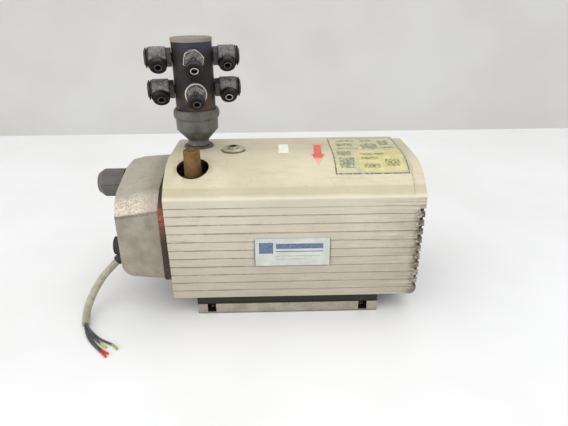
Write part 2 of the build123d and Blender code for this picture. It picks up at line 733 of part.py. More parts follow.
with BuildPart() as inlet_filter:
    # pleated cartridge lying in the upper chamber
    with BuildSketch(yz(CASTING_X0 + 12)):
        with Locations(FILTER_PLACE):
            Circle(28)
            with PolarLocations(27, 30):
                Rectangle(6, 2.2)
            Circle(FILTER_BORE_R, mode=Mode.SUBTRACT)
    extrude(amount=46)
    with BuildSketch(yz(CASTING_X0 + 9)):
        with Locations(FILTER_PLACE):
            Circle(FILTER_R)
    extrude(amount=3)
    with BuildSketch(yz(CASTING_X0 + 58)):
        with Locations(FILTER_PLACE):
            Circle(FILTER_R)
            Circle(FILTER_BORE_R, mode=Mode.SUBTRACT)
    extrude(amount=3)
save(inlet_filter.part, "inlet_filter")

with BuildPart() as terminal_block:
    # four-way block in the lower chamber, behind the cable entry
    with Locations((BLOCK_X, GLAND_Y, 84)):
        Box(16, 62, 24)
    for way in range(4):
        with Locations((BLOCK_X, GLAND_Y - 22.5 + 15 * way, 94)):
            Cylinder(3.6, 8, mode=Mode.SUBTRACT)
        with Locations((BLOCK_X, GLAND_Y - 22.5 + 15 * way, 86)):
            Cylinder(2.4, 20, rotation=(0, 90, 0), mode=Mode.SUBTRACT)
save(terminal_block.part, "terminal_block")

# ------------------------------------------------------------- vacuum regulator
KNOB_R = 22.6
KNOB_X0 = -301.0
KNOB_X1 = -258.0
PLATE_X0 = -222.0
SPRING_X1 = -196.0
SPINDLE_R = 4.0
SPINDLE_HOLE_R = SPINDLE_R + 0.06
PLATE_THICKNESS = 3.0


def knob_plane(x):
    """Plane across the regulator axis at x."""
    return Plane(origin=(x, 0, KNOB_Z), x_dir=(0, 1, 0), z_dir=(1, 0, 0))


with BuildPart() as regulator_knob:
    with BuildSketch(knob_plane(KNOB_X0)):
        Circle(KNOB_R)
    extrude(amount=KNOB_X1 - KNOB_X0)
    chamfer(faces().sort_by(Axis.X)[0].edges(), length=10, length2=7)
    fillet(edges().filter_by(GeomType.CIRCLE).group_by(Axis.X)[0], 3)
    with BuildSketch(knob_plane(KNOB_X0)):
        with PolarLocations(KNOB_R + 1.2, 7, start_angle=177.4):
            Circle(3.2)
    extrude(amount=KNOB_X1 - KNOB_X0 - 4, mode=Mode.SUBTRACT)
    with BuildSketch(knob_plane(KNOB_X1)):
        Circle(SPINDLE_R)
    extrude(amount=50)
save(regulator_knob.part, "regulator_knob")

with BuildPart() as regulator_bush:
    # screwed brass cage: hexagon outside, spring chamber inside
    with BuildSketch(knob_plane(KNOB_X1 + 1)):
        RegularPolygon(13.0, 6)
    extrude(amount=3)
    with BuildSketch(knob_plane(BOSS_X)):
        Circle(14)
    extrude(amount=SPRING_X1 + 3 - BOSS_X)
    with BuildSketch(knob_plane(KNOB_X1)):
        Circle(SPINDLE_HOLE_R)
    extrude(amount=40, mode=Mode.SUBTRACT)
    with BuildSketch(knob_plane(PLATE_X0 - 4)):
        Circle(11)
    extrude(amount=SPRING_X1 - PLATE_X0 + 4, mode=Mode.SUBTRACT)
    with BuildSketch(knob_plane(SPRING_X1 - 1)):
        Circle(5.5)
    extrude(amount=6, mode=Mode.SUBTRACT)
save(regulator_bush.part, "regulator_bush")

with BuildPart() as spring_plate:
    with BuildSketch(knob_plane(PLATE_X0)):
        Circle(10.9)
        Circle(SPINDLE_HOLE_R, mode=Mode.SUBTRACT)
    extrude(amount=PLATE_THICKNESS)
save(spring_plate.part, "spring_plate")

SPRING_WIRE_R = 0.8
with BuildPart() as regulator_spring:
    spring_length = SPRING_X1 - PLATE_X0 - PLATE_THICKNESS - 2 * SPRING_WIRE_R - 0.2
    with BuildLine():
        coil = Helix(
            pitch=spring_length / 5,
            height=spring_length,
            radius=8,
            center=(PLATE_X0 + PLATE_THICKNESS + SPRING_WIRE_R + 0.1, 0, KNOB_Z),
            direction=(1, 0, 0),
        )
    with BuildSketch(Plane(origin=coil @ 0, z_dir=coil % 0)):
        Circle(SPRING_WIRE_R)
    sweep(is_frenet=True)
save(regulator_spring.part, "regulator_spring")

# ------------------------------------------------------------ exhaust and inlet
with BuildPart() as exhaust_silencer:
    # sintered bronze plug with a screwdriver slot
    with BuildSketch(Plane(origin=(EXHAUST_X, EXHAUST_Y, 0), x_dir=(1, 0, 0), z_dir=(0, -1, 0))):
        Polygon(
            (0, 190), (9, 190), (9, 212), (12.8, 212), (12.8, 216), (12.0, 253.4),
            (11.2, 254.8), (0, 254.8),
            align=None,
        )
    revolve(axis=Axis((EXHAUST_X, EXHAUST_Y, 0), (0, 0, 1)))
    with Locations((EXHAUST_X, EXHAUST_Y, 254.8)):
        Box(18, 1.6, 5, mode=Mode.SUBTRACT)
save(exhaust_silencer.part, "exhaust_silencer")


def turned(points):
    """Round piece on the inlet's axis, from the points of its half section."""
    with BuildPart() as piece:
        with BuildSketch(Plane(origin=(PORT_X, INLET_Y, 0), x_dir=(1, 0, 0), z_dir=(0, -1, 0))):
            Polygon(*points, align=None)
        revolve(axis=Axis((PORT_X, INLET_Y, 0), (0, 0, 1)))
    return piece


NIPPLE_R = 14.8
RISER_TOP = AXIS_Z + 100
inlet_nipple = turned(
    [
        (10.5, RISER_TOP - 16), (11.9, RISER_TOP - 16), (11.9, RISER_TOP),
        (NIPPLE_R, RISER_TOP), (NIPPLE_R, 253), (10.5, 253),
    ],
)
save(inlet_nipple.part, "inlet_nipple")

inlet_grommet = turned(
    [
        (15, 230.5), (19.9, 230.5), (19.9, HOOD_TOP), (23.2, HOOD_TOP),
        (23.2, HOOD_TOP + 1.6), (21.5, HOOD_TOP + 2.6), (15, HOOD_TOP + 2.6),
    ],
)
save(inlet_grommet.part, "inlet_grommet")

SOCKET_FLOOR = 271.0
MANIFOLD_TOP = 396.2
CAP_HEIGHT = 6.0
bell_reducer = turned(
    [
        (NIPPLE_R + 0.05, 238.4), (17.6, 238.4), (16.6, 242), (16.6, 247), (24, 255), (32.6, 264.5),
        (33, 281), (35.6, 284.5), (36, 290), (35.4, 294), (33.6, 297),
        (MANIFOLD_R, 297), (MANIFOLD_R, SOCKET_FLOOR), (20, SOCKET_FLOOR),
        (20, 261), (12, 254), (NIPPLE_R + 0.05, 253),
    ],
)
save(bell_reducer.part, "bell_reducer")

# ------------------------------------------------------------------ distributor
SIDE_ANGLES = {"left": 180.0 + TURN, "front": 270.0 + TURN, "right": TURN}


def radial_plane(angle, z):
    """Plane on the distributor's axis, facing out along one port."""
    out = (math.cos(math.radians(angle)), math.sin(math.radians(angle)), 0)
    return Plane(origin=(PORT_X, INLET_Y, z), x_dir=(0, 0, 1), z_dir=out)


PORTS = [(side, row, z) for row, z in zip(("upper", "lower"), ROWS) for side in SIDE_ANGLES]

with BuildPart() as manifold_body:
    with BuildSketch(Plane.XY.offset(SOCKET_FLOOR)):
        with Locations((PORT_X, INLET_Y)):
            Circle(MANIFOLD_R)
            Circle(20, mode=Mode.SUBTRACT)
    extrude(amount=MANIFOLD_TOP - SOCKET_FLOOR)
    for side, row, z in PORTS:
        with BuildSketch(radial_plane(SIDE_ANGLES[side], z)):
            Circle(JOURNAL_R)
        extrude(amount=MANIFOLD_R + 2, mode=Mode.SUBTRACT)
save(manifold_body.part, "manifold_body")

with BuildPart() as manifold_cap:
    with BuildSketch(Plane.XY.offset(MANIFOLD_TOP)):
        with Locations((PORT_X, INLET_Y)):
            Circle(MANIFOLD_R + 0.6)
    extrude(amount=CAP_HEIGHT)
    chamfer(faces().sort_by(Axis.Z)[-1].edges(), 0.8)
    with BuildSketch(Plane.XY.offset(MANIFOLD_TOP)):
        with Locations((PORT_X, INLET_Y)):
            Circle(19.9)
    extrude(amount=-8)
save(manifold_cap.part, "manifold_cap")

COLLAR_X0 = MANIFOLD_R + 0.4
RING_END = 63.8
FRONT_RING_END = 58.0
with BuildPart() as port_adapters:
    # hexagon collar, thread into the distributor and journal for the elbow
    for side, row, z in PORTS:
        plane = radial_plane(SIDE_ANGLES[side], z)
        with BuildSketch(plane.offset(COLLAR_X0)):
            RegularPolygon(12.2, 6, major_radius=False)
        extrude(amount=RING_START - 0.2 - COLLAR_X0)
        journal_end = 52.0 if side == "front" else 64.0
        with BuildSketch(plane.offset(21)):
            Circle(JOURNAL_R)
        extrude(amount=journal_end - 21)
save(port_adapters.part, "port_adapters")

with BuildPart() as banjo_heads:
    # hexagon heads that hold the side elbows on their journals
    for side, row, z in PORTS:
        if side == "front":
            continue
        plane = radial_plane(SIDE_ANGLES[side], z)
        with BuildSketch(plane.offset(64)):
            RegularPolygon(13.0, 6, major_radius=False)
        extrude(amount=3.4)
        with BuildSketch(plane.offset(67.4)):
            Circle(15)
        extrude(amount=3.2)
        with BuildSketch(plane.offset(70.6)):
            Circle(5)
        extrude(amount=-2.5, mode=Mode.SUBTRACT)
save(banjo_heads.part, "banjo_heads")


def port_plane(side, z):
    """Plane on an elbow's hose axis, facing out of the hose port."""
    angle = math.radians(SIDE_ANGLES[side])
    out = Vector(math.cos(angle), math.sin(angle), 0)
    if side == "front":
        along = out
        drop = math.radians(FRONT_DROP)
        start = FRONT_START
    else:
        across = Vector(0, 0, 1).cross(out)
        along = across if across.Y < 0 else across * -1
        drop = math.radians(SIDE_DROP)
        start = (RING_START + RING_END) / 2
    facing = along * math.cos(drop) + Vector(0, 0, -math.sin(drop))
    centre = Vector(PORT_X, INLET_Y, z) + out * start
    level = Vector(0, 0, 1).cross(along)
    return Plane(origin=centre, x_dir=level, z_dir=facing)


for side, row, z in PORTS:
    ring_plane = radial_plane(SIDE_ANGLES[side], z)
    hose_plane = port_plane(side, z)
    ring_end = FRONT_RING_END if side == "front" else RING_END
    bore_depth = 14.2 if side == "front" else 40
    with BuildPart() as elbow:
        with BuildSketch(ring_plane.offset(RING_START)):
            Circle(RING_R - 1.5 if side == "front" else RING_R)
        extrude(amount=ring_end - RING_START)
        chamfer(edges().filter_by(GeomType.CIRCLE), 1.5)
        if side == "front":
            with BuildSketch(ring_plane.offset(ring_end)):
                RegularPolygon(11.5, 6, major_radius=False)
            extrude(amount=4.5)
            with BuildSketch(ring_plane.offset(ring_end + 4.5)):
                with Locations((2.5, 0)):
                    Circle(4)
            extrude(amount=-2, mode=Mode.SUBTRACT)
        with BuildSketch(hose_plane):
            Circle(10.5)
        extrude(amount=PORT_REACH - 5)
        with BuildSketch(hose_plane.offset(PORT_REACH - 7)):
            Circle(PORT_R)
        extrude(amount=7)
        with BuildSketch(ring_plane.offset(RING_START)):
            Circle(JOURNAL_R + 0.05)
        extrude(amount=bore_depth, mode=Mode.SUBTRACT)
        with BuildSketch(hose_plane.offset(PORT_REACH)):
            Circle(COLLET_R + 0.1)
        extrude(amount=-SOCKET_DEPTH, mode=Mode.SUBTRACT)
        with BuildSketch(hose_plane.offset(PORT_REACH)):
            Circle(8.2)
        extrude(amount=-1.6, mode=Mode.SUBTRACT)
        with BuildSketch(hose_plane.offset(PORT_REACH)):
            Circle(3.0)
        extrude(amount=-SOCKET_DEPTH - 1.5, mode=Mode.SUBTRACT)
    save(elbow.part, f"elbow_{side}_{row}")
    with BuildPart() as collet:
        with BuildSketch(hose_plane.offset(PORT_REACH - 8)):
            Circle(COLLET_R)
            Circle(TUBE_R, mode=Mode.SUBTRACT)
        extrude(amount=8)
        with BuildSketch(hose_plane.offset(PORT_REACH)):
            Circle(COLLET_R + 0.6)
            Circle(TUBE_R, mode=Mode.SUBTRACT)
        extrude(amount=1.5)
    save(collet.part, f"collet_{side}_{row}")

# ----------------------------------------------------------------- supply cable
CABLE_ROUTE = [
    (-273.6, -56.5, 65.1),
    (-290.0, -61.7, 50.6),
    (-302.0, -71.8, 36.6),
    (-309.7, -86.5, 23.8),
    (-312.8, -104.8, 13.9),
    (-310.9, -125.1, 7.7),
    (-304.8, -145.1, 6.0),
]
CORE_ROUTES = [
    [(-305.8, -146.6, 6.0), (-301.0, -157.6, 2.6), (-293.3, -172.6, 1.8), (-281.2, -187.9, 1.8),
     (-268.2, -200.8, 1.8), (-254.3, -215.4, 1.8)],
    [(-304.0, -146.8, 3.4), (-297.4, -160.9, 2.2), (-286.6, -176.6, 1.8), (-275.6, -190.0, 1.8),
     (-264.3, -201.0, 1.8), (-252.9, -209.0, 1.8)],
    [(-302.2, -146.6, 6.0), (-294.6, -160.4, 2.6), (-283.2, -173.6, 1.8), (-271.0, -185.8, 1.8),
     (-259.8, -195.2, 1.8)],
    [(-304.0, -146.4, 8.6), (-295.2, -157.2, 4.4), (-284.6, -166.8, 1.8), (-274.6, -176.0, 1.8),
     (-262.6, -183.6, 1.8), (-250.6, -190.2, 1.8), (-243.4, -199.2, 1.8)],
]


def arc_radii(route):
    """Largest arc at each corner that the two runs beside it allow."""
    points = [Vector(*point) for point in route]
    radii = []
    for before, here, after in zip(points, points[1:], points[2:]):
        turn = math.radians((here - before).get_angle(after - here))
        shorter = min((here - before).length, (after - here).length)
        radii.append(0.45 * shorter / math.tan(turn / 2))
    return radii


def tube(route, diameter):
    """Round cable along straight runs joined by tangent arcs."""
    radii = arc_radii(route)
    with BuildPart() as piece:
        with BuildLine():
            centre_line = FilletPolyline(*route, radius=radii)
        with BuildSketch(Plane(origin=centre_line @ 0, z_dir=centre_line % 0)):
            Circle(diameter / 2)
        sweep()
    expected = math.pi * (diameter / 2) ** 2 * centre_line.length
    print(
        "tube length", round(centre_line.length, 1),
        "volume ratio", round(piece.part.volume / expected, 4),
        "radii", [round(radius, 1) for radius in radii],
    )
    return piece.part


mains_cable = tube(CABLE_ROUTE, CABLE_D)
save(mains_cable, "mains_cable")

cable_cores = Compound(children=[tube(route, CORE_D) for route in CORE_ROUTES])
save(cable_cores, "cable_cores")

exit_point = Vector(*CABLE_ROUTE[0])
exit_direction = (Vector(*CABLE_ROUTE[1]) - exit_point).normalized()
gland_centre = exit_point - exit_direction * 24
with BuildPart() as cable_gland:
    # angled gland: locknut and body on the end face, tapered sleeve down the cable
    with BuildSketch(Plane(origin=(CASTING_X0 - 2, GLAND_Y, GLAND_Z), z_dir=(-1, 0, 0))):
        Circle(14)
    with BuildSketch(Plane(origin=gland_centre, z_dir=exit_direction)):
        Circle(13)
    loft()
    with Locations(gland_centre):
        Sphere(13)
    with BuildSketch(Plane(origin=gland_centre, z_dir=exit_direction)):
        Circle(11.5)
    with BuildSketch(Plane(origin=exit_point, z_dir=exit_direction)):
        Circle(7.6)
    loft()
    with Locations((CASTING_X0 + 20, GLAND_Y, GLAND_Z)):
        Box(40, 80, 80, mode=Mode.SUBTRACT)
    # moulded nut against the casting, stepped at its outer end
    for step_r, height in ((NUT_R, NUT_HEIGHT - 2 * NUT_STEP), (NUT_R - NUT_STEP, NUT_HEIGHT)):
        with BuildSketch(yz(CASTING_X0 - height)):
            with Locations((GLAND_Y, GLAND_Z)):
                Circle(step_r)
        extrude(amount=height)
    with BuildSketch(yz(CASTING_X0)):
        with Locations((GLAND_Y, GLAND_Z)):
            Circle(7.9)
    extrude(amount=16)
save(cable_gland.part, "cable_gland")
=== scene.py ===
"""Looks of the rotary vane vacuum pump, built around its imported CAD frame."""

import json
import math

import bmesh
import bpy
from mathutils import Matrix, Vector
from mathutils.bvhtree import BVHTree


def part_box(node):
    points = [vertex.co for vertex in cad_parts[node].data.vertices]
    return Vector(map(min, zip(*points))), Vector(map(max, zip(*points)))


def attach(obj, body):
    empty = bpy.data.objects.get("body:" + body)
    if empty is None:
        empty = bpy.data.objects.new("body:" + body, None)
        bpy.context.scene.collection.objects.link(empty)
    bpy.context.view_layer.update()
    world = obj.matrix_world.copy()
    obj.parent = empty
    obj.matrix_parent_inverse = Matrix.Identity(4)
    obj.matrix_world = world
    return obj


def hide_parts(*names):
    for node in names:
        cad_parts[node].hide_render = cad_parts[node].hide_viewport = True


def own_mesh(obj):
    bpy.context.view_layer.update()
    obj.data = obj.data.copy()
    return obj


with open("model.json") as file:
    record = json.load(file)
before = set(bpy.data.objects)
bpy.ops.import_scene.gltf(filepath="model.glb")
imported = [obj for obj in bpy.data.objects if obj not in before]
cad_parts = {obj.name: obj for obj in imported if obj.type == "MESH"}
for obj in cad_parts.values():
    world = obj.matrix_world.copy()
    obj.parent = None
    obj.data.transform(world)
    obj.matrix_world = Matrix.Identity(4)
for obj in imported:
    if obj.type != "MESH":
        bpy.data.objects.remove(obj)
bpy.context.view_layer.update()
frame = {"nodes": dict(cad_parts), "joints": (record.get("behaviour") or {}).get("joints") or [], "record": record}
NODES = frame["nodes"]
RECORD = frame["record"]
BODY_OF = {node: body for body, nodes in RECORD["behaviour"]["bodies"].items() for node in nodes}
MM = 0.001
scene = bpy.context.scene

# ---------------------------------------------------------------- camera
CAMERA_PLACE = (-0.0168, -0.7709, 0.4586)
YAW = math.radians(1.12)
PITCH = math.radians(23.72)
ROLL = math.radians(-0.52)
camera_data = bpy.data.cameras.new("camera")
camera_data.sensor_width = 36.0
camera_data.lens = 31.52
camera_data.clip_start = 0.01
camera_data.clip_end = 50.0
camera = bpy.data.objects.new("camera", camera_data)
scene.collection.objects.link(camera)
scene.camera = camera
forward = Vector((math.sin(YAW) * math.cos(PITCH), math.cos(YAW) * math.cos(PITCH), -math.sin(PITCH)))
level = Vector((math.cos(YAW), -math.sin(YAW), 0))
upward = level.cross(forward)
right = level * math.cos(ROLL) + upward * math.sin(ROLL)
top = upward * math.cos(ROLL) - level * math.sin(ROLL)
camera.matrix_world = Matrix.Translation(CAMERA_PLACE) @ Matrix(
    (right, top, -forward)
).transposed().to_4x4()


# ------------------------------------------------------------- materials
def lin(red, green, blue):
    """Linear colour of an 8-bit sRGB colour."""
    values = []
    for value in (red, green, blue):
        share = value / 255
        values.append(share / 12.92 if share < 0.04045 else ((share + 0.055) / 1.055) ** 2.4)
    return (*values, 1.0)


class Paint:
    """A node material in the making, with short calls for its usual nodes."""

    def __init__(self, name, rough=0.5, metal=0.0, **sockets):
        self.material = bpy.data.materials.new(name)
        self.material.use_nodes = True
        self.tree = self.material.node_tree
        self.tree.nodes.clear()
        self.shader = self.tree.nodes.new("ShaderNodeBsdfPrincipled")
        output = self.tree.nodes.new("ShaderNodeOutputMaterial")
        self.tree.links.new(self.shader.outputs[0], output.inputs[0])
        self.shader.inputs["Roughness"].default_value = rough
        self.shader.inputs["Metallic"].default_value = metal
        for socket, value in sockets.items():
            self.shader.inputs[socket.replace("_", " ")].default_value = value
        self.place = self.new("ShaderNodeTexCoord").outputs["Object"]

    def new(self, kind, **settings):
        node = self.tree.nodes.new(kind)
        for key, value in settings.items():
            setattr(node, key, value)
        return node

    def put(self, socket, value):
        if isinstance(value, bpy.types.NodeSocket):
            self.tree.links.new(value, socket)
        else:
            socket.default_value = value

    def stretch(self, scale, rotate=(0, 0, 0), shift=(0, 0, 0)):
        node = self.new("ShaderNodeMapping")
        self.put(node.inputs["Vector"], self.place)
        node.inputs["Scale"].default_value = scale
        node.inputs["Rotation"].default_value = rotate
        node.inputs["Location"].default_value = shift
        return node.outputs[0]

    def noise(self, scale, detail=4.0, rough=0.55, warp=0.0, at=None):
        node = self.new("ShaderNodeTexNoise")
        self.put(node.inputs["Vector"], at or self.place)
        node.inputs["Scale"].default_value = scale
        node.inputs["Detail"].default_value = detail
        node.inputs["Roughness"].default_value = rough
        node.inputs["Distortion"].default_value = warp
        return node.outputs[0]

    def cells(self, scale):
        """Distance to the nearest of many scattered points."""
        node = self.new("ShaderNodeTexVoronoi", feature="F1")
        self.put(node.inputs["Vector"], self.place)
        node.inputs["Scale"].default_value = scale
        return node.outputs["Distance"]

    def band(self, value, low, high, out_low=0.0, out_high=1.0):
        """Value taken from low to high onto out_low to out_high, clamped, smooth."""
        node = self.new("ShaderNodeMapRange", interpolation_type="SMOOTHSTEP")
        self.put(node.inputs["Value"], value)
        for socket, number in zip(("From Min", "From Max", "To Min", "To Max"),
                                  (low, high, out_low, out_high)):
            node.inputs[socket].default_value = number
        return node.outputs[0]

    def calc(self, operation, first, second=0.0):
        node = self.new("ShaderNodeMath", operation=operation)
        self.put(node.inputs[0], first)
        self.put(node.inputs[1], second)
        return node.outputs[0]

    def mix(self, share, first, second):
        """First colour at share 0, second colour at share 1."""
        node = self.new("ShaderNodeMix", data_type="RGBA", blend_type="MIX")
        self.put(node.inputs["Factor"], share)
        self.put(node.inputs[6], first)
        self.put(node.inputs[7], second)
        return node.outputs[2]

    def axis(self, name):
        node = self.new("ShaderNodeSeparateXYZ")
        self.put(node.inputs[0], self.place)
        return node.outputs[name]

    def distance(self, point):
        node = self.new("ShaderNodeVectorMath", operation="DISTANCE")
        self.put(node.inputs[0], self.place)
        node.inputs[1].default_value = point
        return node.outputs["Value"]

    def crevice(self, reach):
        """1 in the open, towards 0 in corners and grooves."""
        node = self.new("ShaderNodeAmbientOcclusion", samples=6)
        node.inputs["Distance"].default_value = reach
        return node.outputs["AO"]

    def edge(self, radius):
        """0 on flat ground, towards 1 along sharp edges."""
        bevel = self.new("ShaderNodeBevel", samples=4)
        bevel.inputs["Radius"].default_value = radius
        plain = self.new("ShaderNodeNewGeometry").outputs["Normal"]
        dot = self.new("ShaderNodeVectorMath", operation="DOT_PRODUCT")
        self.put(dot.inputs[0], bevel.outputs[0])
        self.put(dot.inputs[1], plain)
        return self.calc("SUBTRACT", 1.0, dot.outputs["Value"])

    def within(self, value, low, high, soft=0.0001):
        """1 where value lies between low and high, else 0."""
        above = self.band(value, low - soft, low + soft)
        below = self.band(value, high - soft, high + soft, 1.0, 0.0)
        return self.calc("MULTIPLY", above, below)

    def block(self, first, second, low, high, soft=0.0001):
        """1 inside the rectangle from low to high on two coordinates."""
        wide = self.within(first, low[0], high[0], soft)
        tall = self.within(second, low[1], high[1], soft)
        return self.calc("MULTIPLY", wide, tall)

    def band_linear(self, value, low, high):
        """Value taken from low to high onto 0 to 1."""
        node = self.new("ShaderNodeMapRange")
        self.put(node.inputs["Value"], value)
        node.inputs["From Min"].default_value = low
        node.inputs["From Max"].default_value = high
        return node.outputs[0]

    def colour(self, value):
        self.put(self.shader.inputs["Base Color"], value)

    def rough(self, value):
        self.put(self.shader.inputs["Roughness"], value)

    def bump(self, height, depth, strength=1.0):
        node = self.new("ShaderNodeBump")
        node.inputs["Strength"].default_value = strength
        node.inputs["Distance"].default_value = depth
        self.put(node.inputs["Height"], height)
        self.put(self.shader.inputs["Normal"], node.outputs[0])


def plain_finish(name, base, rough=0.5, metal=0.0, spread=0.12, grain=900.0, depth=0.00004, dirt_and_shade=None,
                 dirt_and_shade_share=0.35, brushed=None, **sockets):
    """Finish with tone variation, grain, uneven gloss, dirt specks and a corner colour from the occlusion mask,
    painted shade where that colour is darker than the base.
    """
    paint = Paint(name, rough=rough, metal=metal, **sockets)
    broad = paint.noise(38.0, 5.0, 0.6)
    dark = tuple(channel * (1 - 2 * spread) for channel in base[:3]) + (1.0,)
    pale = tuple(min(1.0, channel * (1 + spread)) for channel in base[:3]) + (1.0,)
    tone = paint.mix(paint.band(broad, 0.3, 0.7), dark, pale)
    if dirt_and_shade:
        # The occlusion mask lays the corner colour into corners and recesses: painted shade where it is darker
        # than the base, gathered dust where it is paler; the specks are dirt.
        open_share = paint.band(paint.crevice(0.006), 0.35, 0.95)
        specks = paint.band(paint.noise(260.0, 4.0, 0.7), 0.45, 0.75, 0.0, 1.0)
        overlay_share = paint.calc("MULTIPLY", paint.calc("SUBTRACT", 1.0, open_share), dirt_and_shade_share * 2)
        overlay_share = paint.calc("MAXIMUM", overlay_share, paint.calc("MULTIPLY", specks, dirt_and_shade_share * 0.6))
        tone = paint.mix(overlay_share, tone, dirt_and_shade)
    paint.colour(tone)
    if brushed:
        fine = paint.noise(1.0, 3.0, 0.6, at=paint.stretch(brushed))
    else:
        fine = paint.noise(grain, 3.0, 0.6)
    paint.rough(paint.band(paint.calc("ADD", fine, broad), 0.6, 1.4, rough * 0.82, min(1.0, rough * 1.2)))
    paint.bump(fine, depth)
    return paint.material


# ---------------------------------------------------------------- pieces
def adopt(piece, node, material):
    """Puts a piece in a CAD node's place: hides the node, rides on its body, and takes the given material."""
    piece.data.materials.clear()
    piece.data.materials.append(material)
    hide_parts(node)
    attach(piece, BODY_OF[node])
    return piece


def new_piece(name, mesh_edit, body, material):
    """New mesh piece from a bmesh, riding on a body."""
    mesh = bpy.data.meshes.new(name)
    mesh_edit.to_mesh(mesh)
    mesh_edit.free()
    piece = bpy.data.objects.new(name, mesh)
    scene.collection.objects.link(piece)
    mesh.materials.append(material)
    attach(piece, body)
    return piece


def soften(piece, width, segments=2, angle=32):
    """Rounds a piece's sharp edges with a bevel modifier that hardens its normals."""
    if width:
        bevel = piece.modifiers.new("edge_radius", "BEVEL")
        bevel.width = width
        bevel.segments = segments
        bevel.limit_method = "ANGLE"
        bevel.angle_limit = math.radians(angle)
        bevel.harden_normals = True
        bevel.use_clamp_overlap = True
    return piece


def refined(node, material, width=0.0004, segments=2, angle=32, merge=True):
    """Copy of a CAD node with rounded edges, in that node's place."""
    mesh = NODES[node].data.copy()
    edit = bmesh.new()
    edit.from_mesh(mesh)
    bmesh.ops.remove_doubles(edit, verts=edit.verts, dist=2e-6)
    if merge:
        bmesh.ops.dissolve_limit(
            edit, angle_limit=math.radians(0.4), verts=edit.verts, edges=edit.edges,
            use_dissolve_boundaries=False,
        )
    for face in edit.faces:
        face.smooth = True
    for line in edit.edges:
        line.smooth = not line.is_manifold or line.calc_face_angle(0) < math.radians(28)
    edit.to_mesh(mesh)
    edit.free()
    piece = bpy.data.objects.new(f"{node}_look", mesh)
    scene.collection.objects.link(piece)
    adopt(piece, node, material)
    soften(piece, width, segments, angle)
    return piece


# ------------------------------------------------------------ cord and cores
CABLE_ROUTE = [
    (-273.6, -56.5, 65.1), (-290.0, -61.7, 50.6), (-302.0, -71.8, 36.6), (-309.7, -86.5, 23.8),
    (-312.8, -104.8, 13.9), (-310.9, -125.1, 7.7), (-304.8, -145.1, 6.0),
]
CORE_ROUTES = [
    [(-305.8, -146.6, 6.0), (-301.0, -157.6, 2.6), (-293.3, -172.6, 1.8), (-281.2, -187.9, 1.8),
     (-268.2, -200.8, 1.8), (-254.3, -215.4, 1.8)],
    [(-304.0, -146.8, 3.4), (-297.4, -160.9, 2.2), (-286.6, -176.6, 1.8), (-275.6, -190.0, 1.8),
     (-264.3, -201.0, 1.8), (-252.9, -209.0, 1.8)],
    [(-302.2, -146.6, 6.0), (-294.6, -160.4, 2.6), (-283.2, -173.6, 1.8), (-271.0, -185.8, 1.8),
     (-259.8, -195.2, 1.8)],
    [(-304.0, -146.4, 8.6), (-295.2, -157.2, 4.4), (-284.6, -166.8, 1.8), (-274.6, -176.0, 1.8),
     (-262.6, -183.6, 1.8), (-250.6, -190.2, 1.8), (-243.4, -199.2, 1.8)],
]
CABLE_D = 0.0116
CORE_D = 0.0032
TIP_COLOURS = (lin(196, 60, 34), lin(206, 70, 42), lin(196, 190, 60), lin(150, 170, 60))


def metres(point):
    """A route point given in mm, in metres."""
    return tuple(value * MM for value in point)


def jacket_finish():
    """Grey-green sheath, scuffed."""
    paint = Paint("cable_jacket", rough=0.5)
    tone = paint.mix(paint.band(paint.noise(90.0, 5.0), 0.3, 0.7), lin(150, 146, 124), lin(186, 182, 158))
    scuffs = paint.band(paint.noise(420.0, 5.0, 0.75), 0.56, 0.72)
    paint.colour(paint.mix(paint.calc("MULTIPLY", scuffs, 0.45), tone, lin(92, 88, 72)))
    paint.rough(paint.band(paint.noise(200.0), 0.3, 0.7, 0.42, 0.62))
    paint.bump(paint.noise(700.0, 4.0, 0.7), 0.00008)
    return paint.material


def core_finish(number):
    """Dark insulation with a coloured end."""
    paint = Paint(f"core_{number}", rough=0.45)
    end = metres(CORE_ROUTES[number][-1])
    base = paint.mix(paint.band(paint.noise(300.0), 0.35, 0.65), lin(58, 58, 60), lin(84, 84, 86))
    near = paint.band(paint.distance(end), 0.0125, 0.0145)
    paint.colour(paint.mix(near, TIP_COLOURS[number], base))
    paint.bump(paint.noise(1500.0, 2.0), 0.00003)
    return paint.material


def cord_curve(name, route, diameter, material):
    """Smooth cord on a NURBS line through its route's control points."""
    data = bpy.data.curves.new(name, "CURVE")
    data.dimensions = "3D"
    data.resolution_u = 12
    data.bevel_depth = diameter / 2
    data.bevel_resolution = 6
    data.use_fill_caps = True
    line = data.splines.new("NURBS")
    line.points.add(len(route) - 1)
    for point, place in zip(line.points, route):
        point.co = (*metres(place), 1.0)
    line.order_u = 3
    line.use_endpoint_u = True
    piece = bpy.data.objects.new(name, data)
    scene.collection.objects.link(piece)
    data.materials.append(material)
    return piece


jacket = cord_curve("mains_cable_jacket", CABLE_ROUTE, CABLE_D, jacket_finish())
adopt(jacket, "mains_cable", jacket.data.materials[0])
for number, route in enumerate(CORE_ROUTES):
    core = cord_curve(f"cable_core_{number + 1}", route, CORE_D, core_finish(number))
    adopt(core, "cable_cores", core.data.materials[0])

# -------------------------------------------------------------- finishes
# Dark soot colour; as a finish's corner colour it is painted shade in recesses as well as soot specks.
SOOT_AND_SHADE = lin(58, 48, 38)
EXHAUST_PLACE = Vector((-0.136, -0.076, 0.2266))
EXHAUST_TILT = math.radians(24.0)


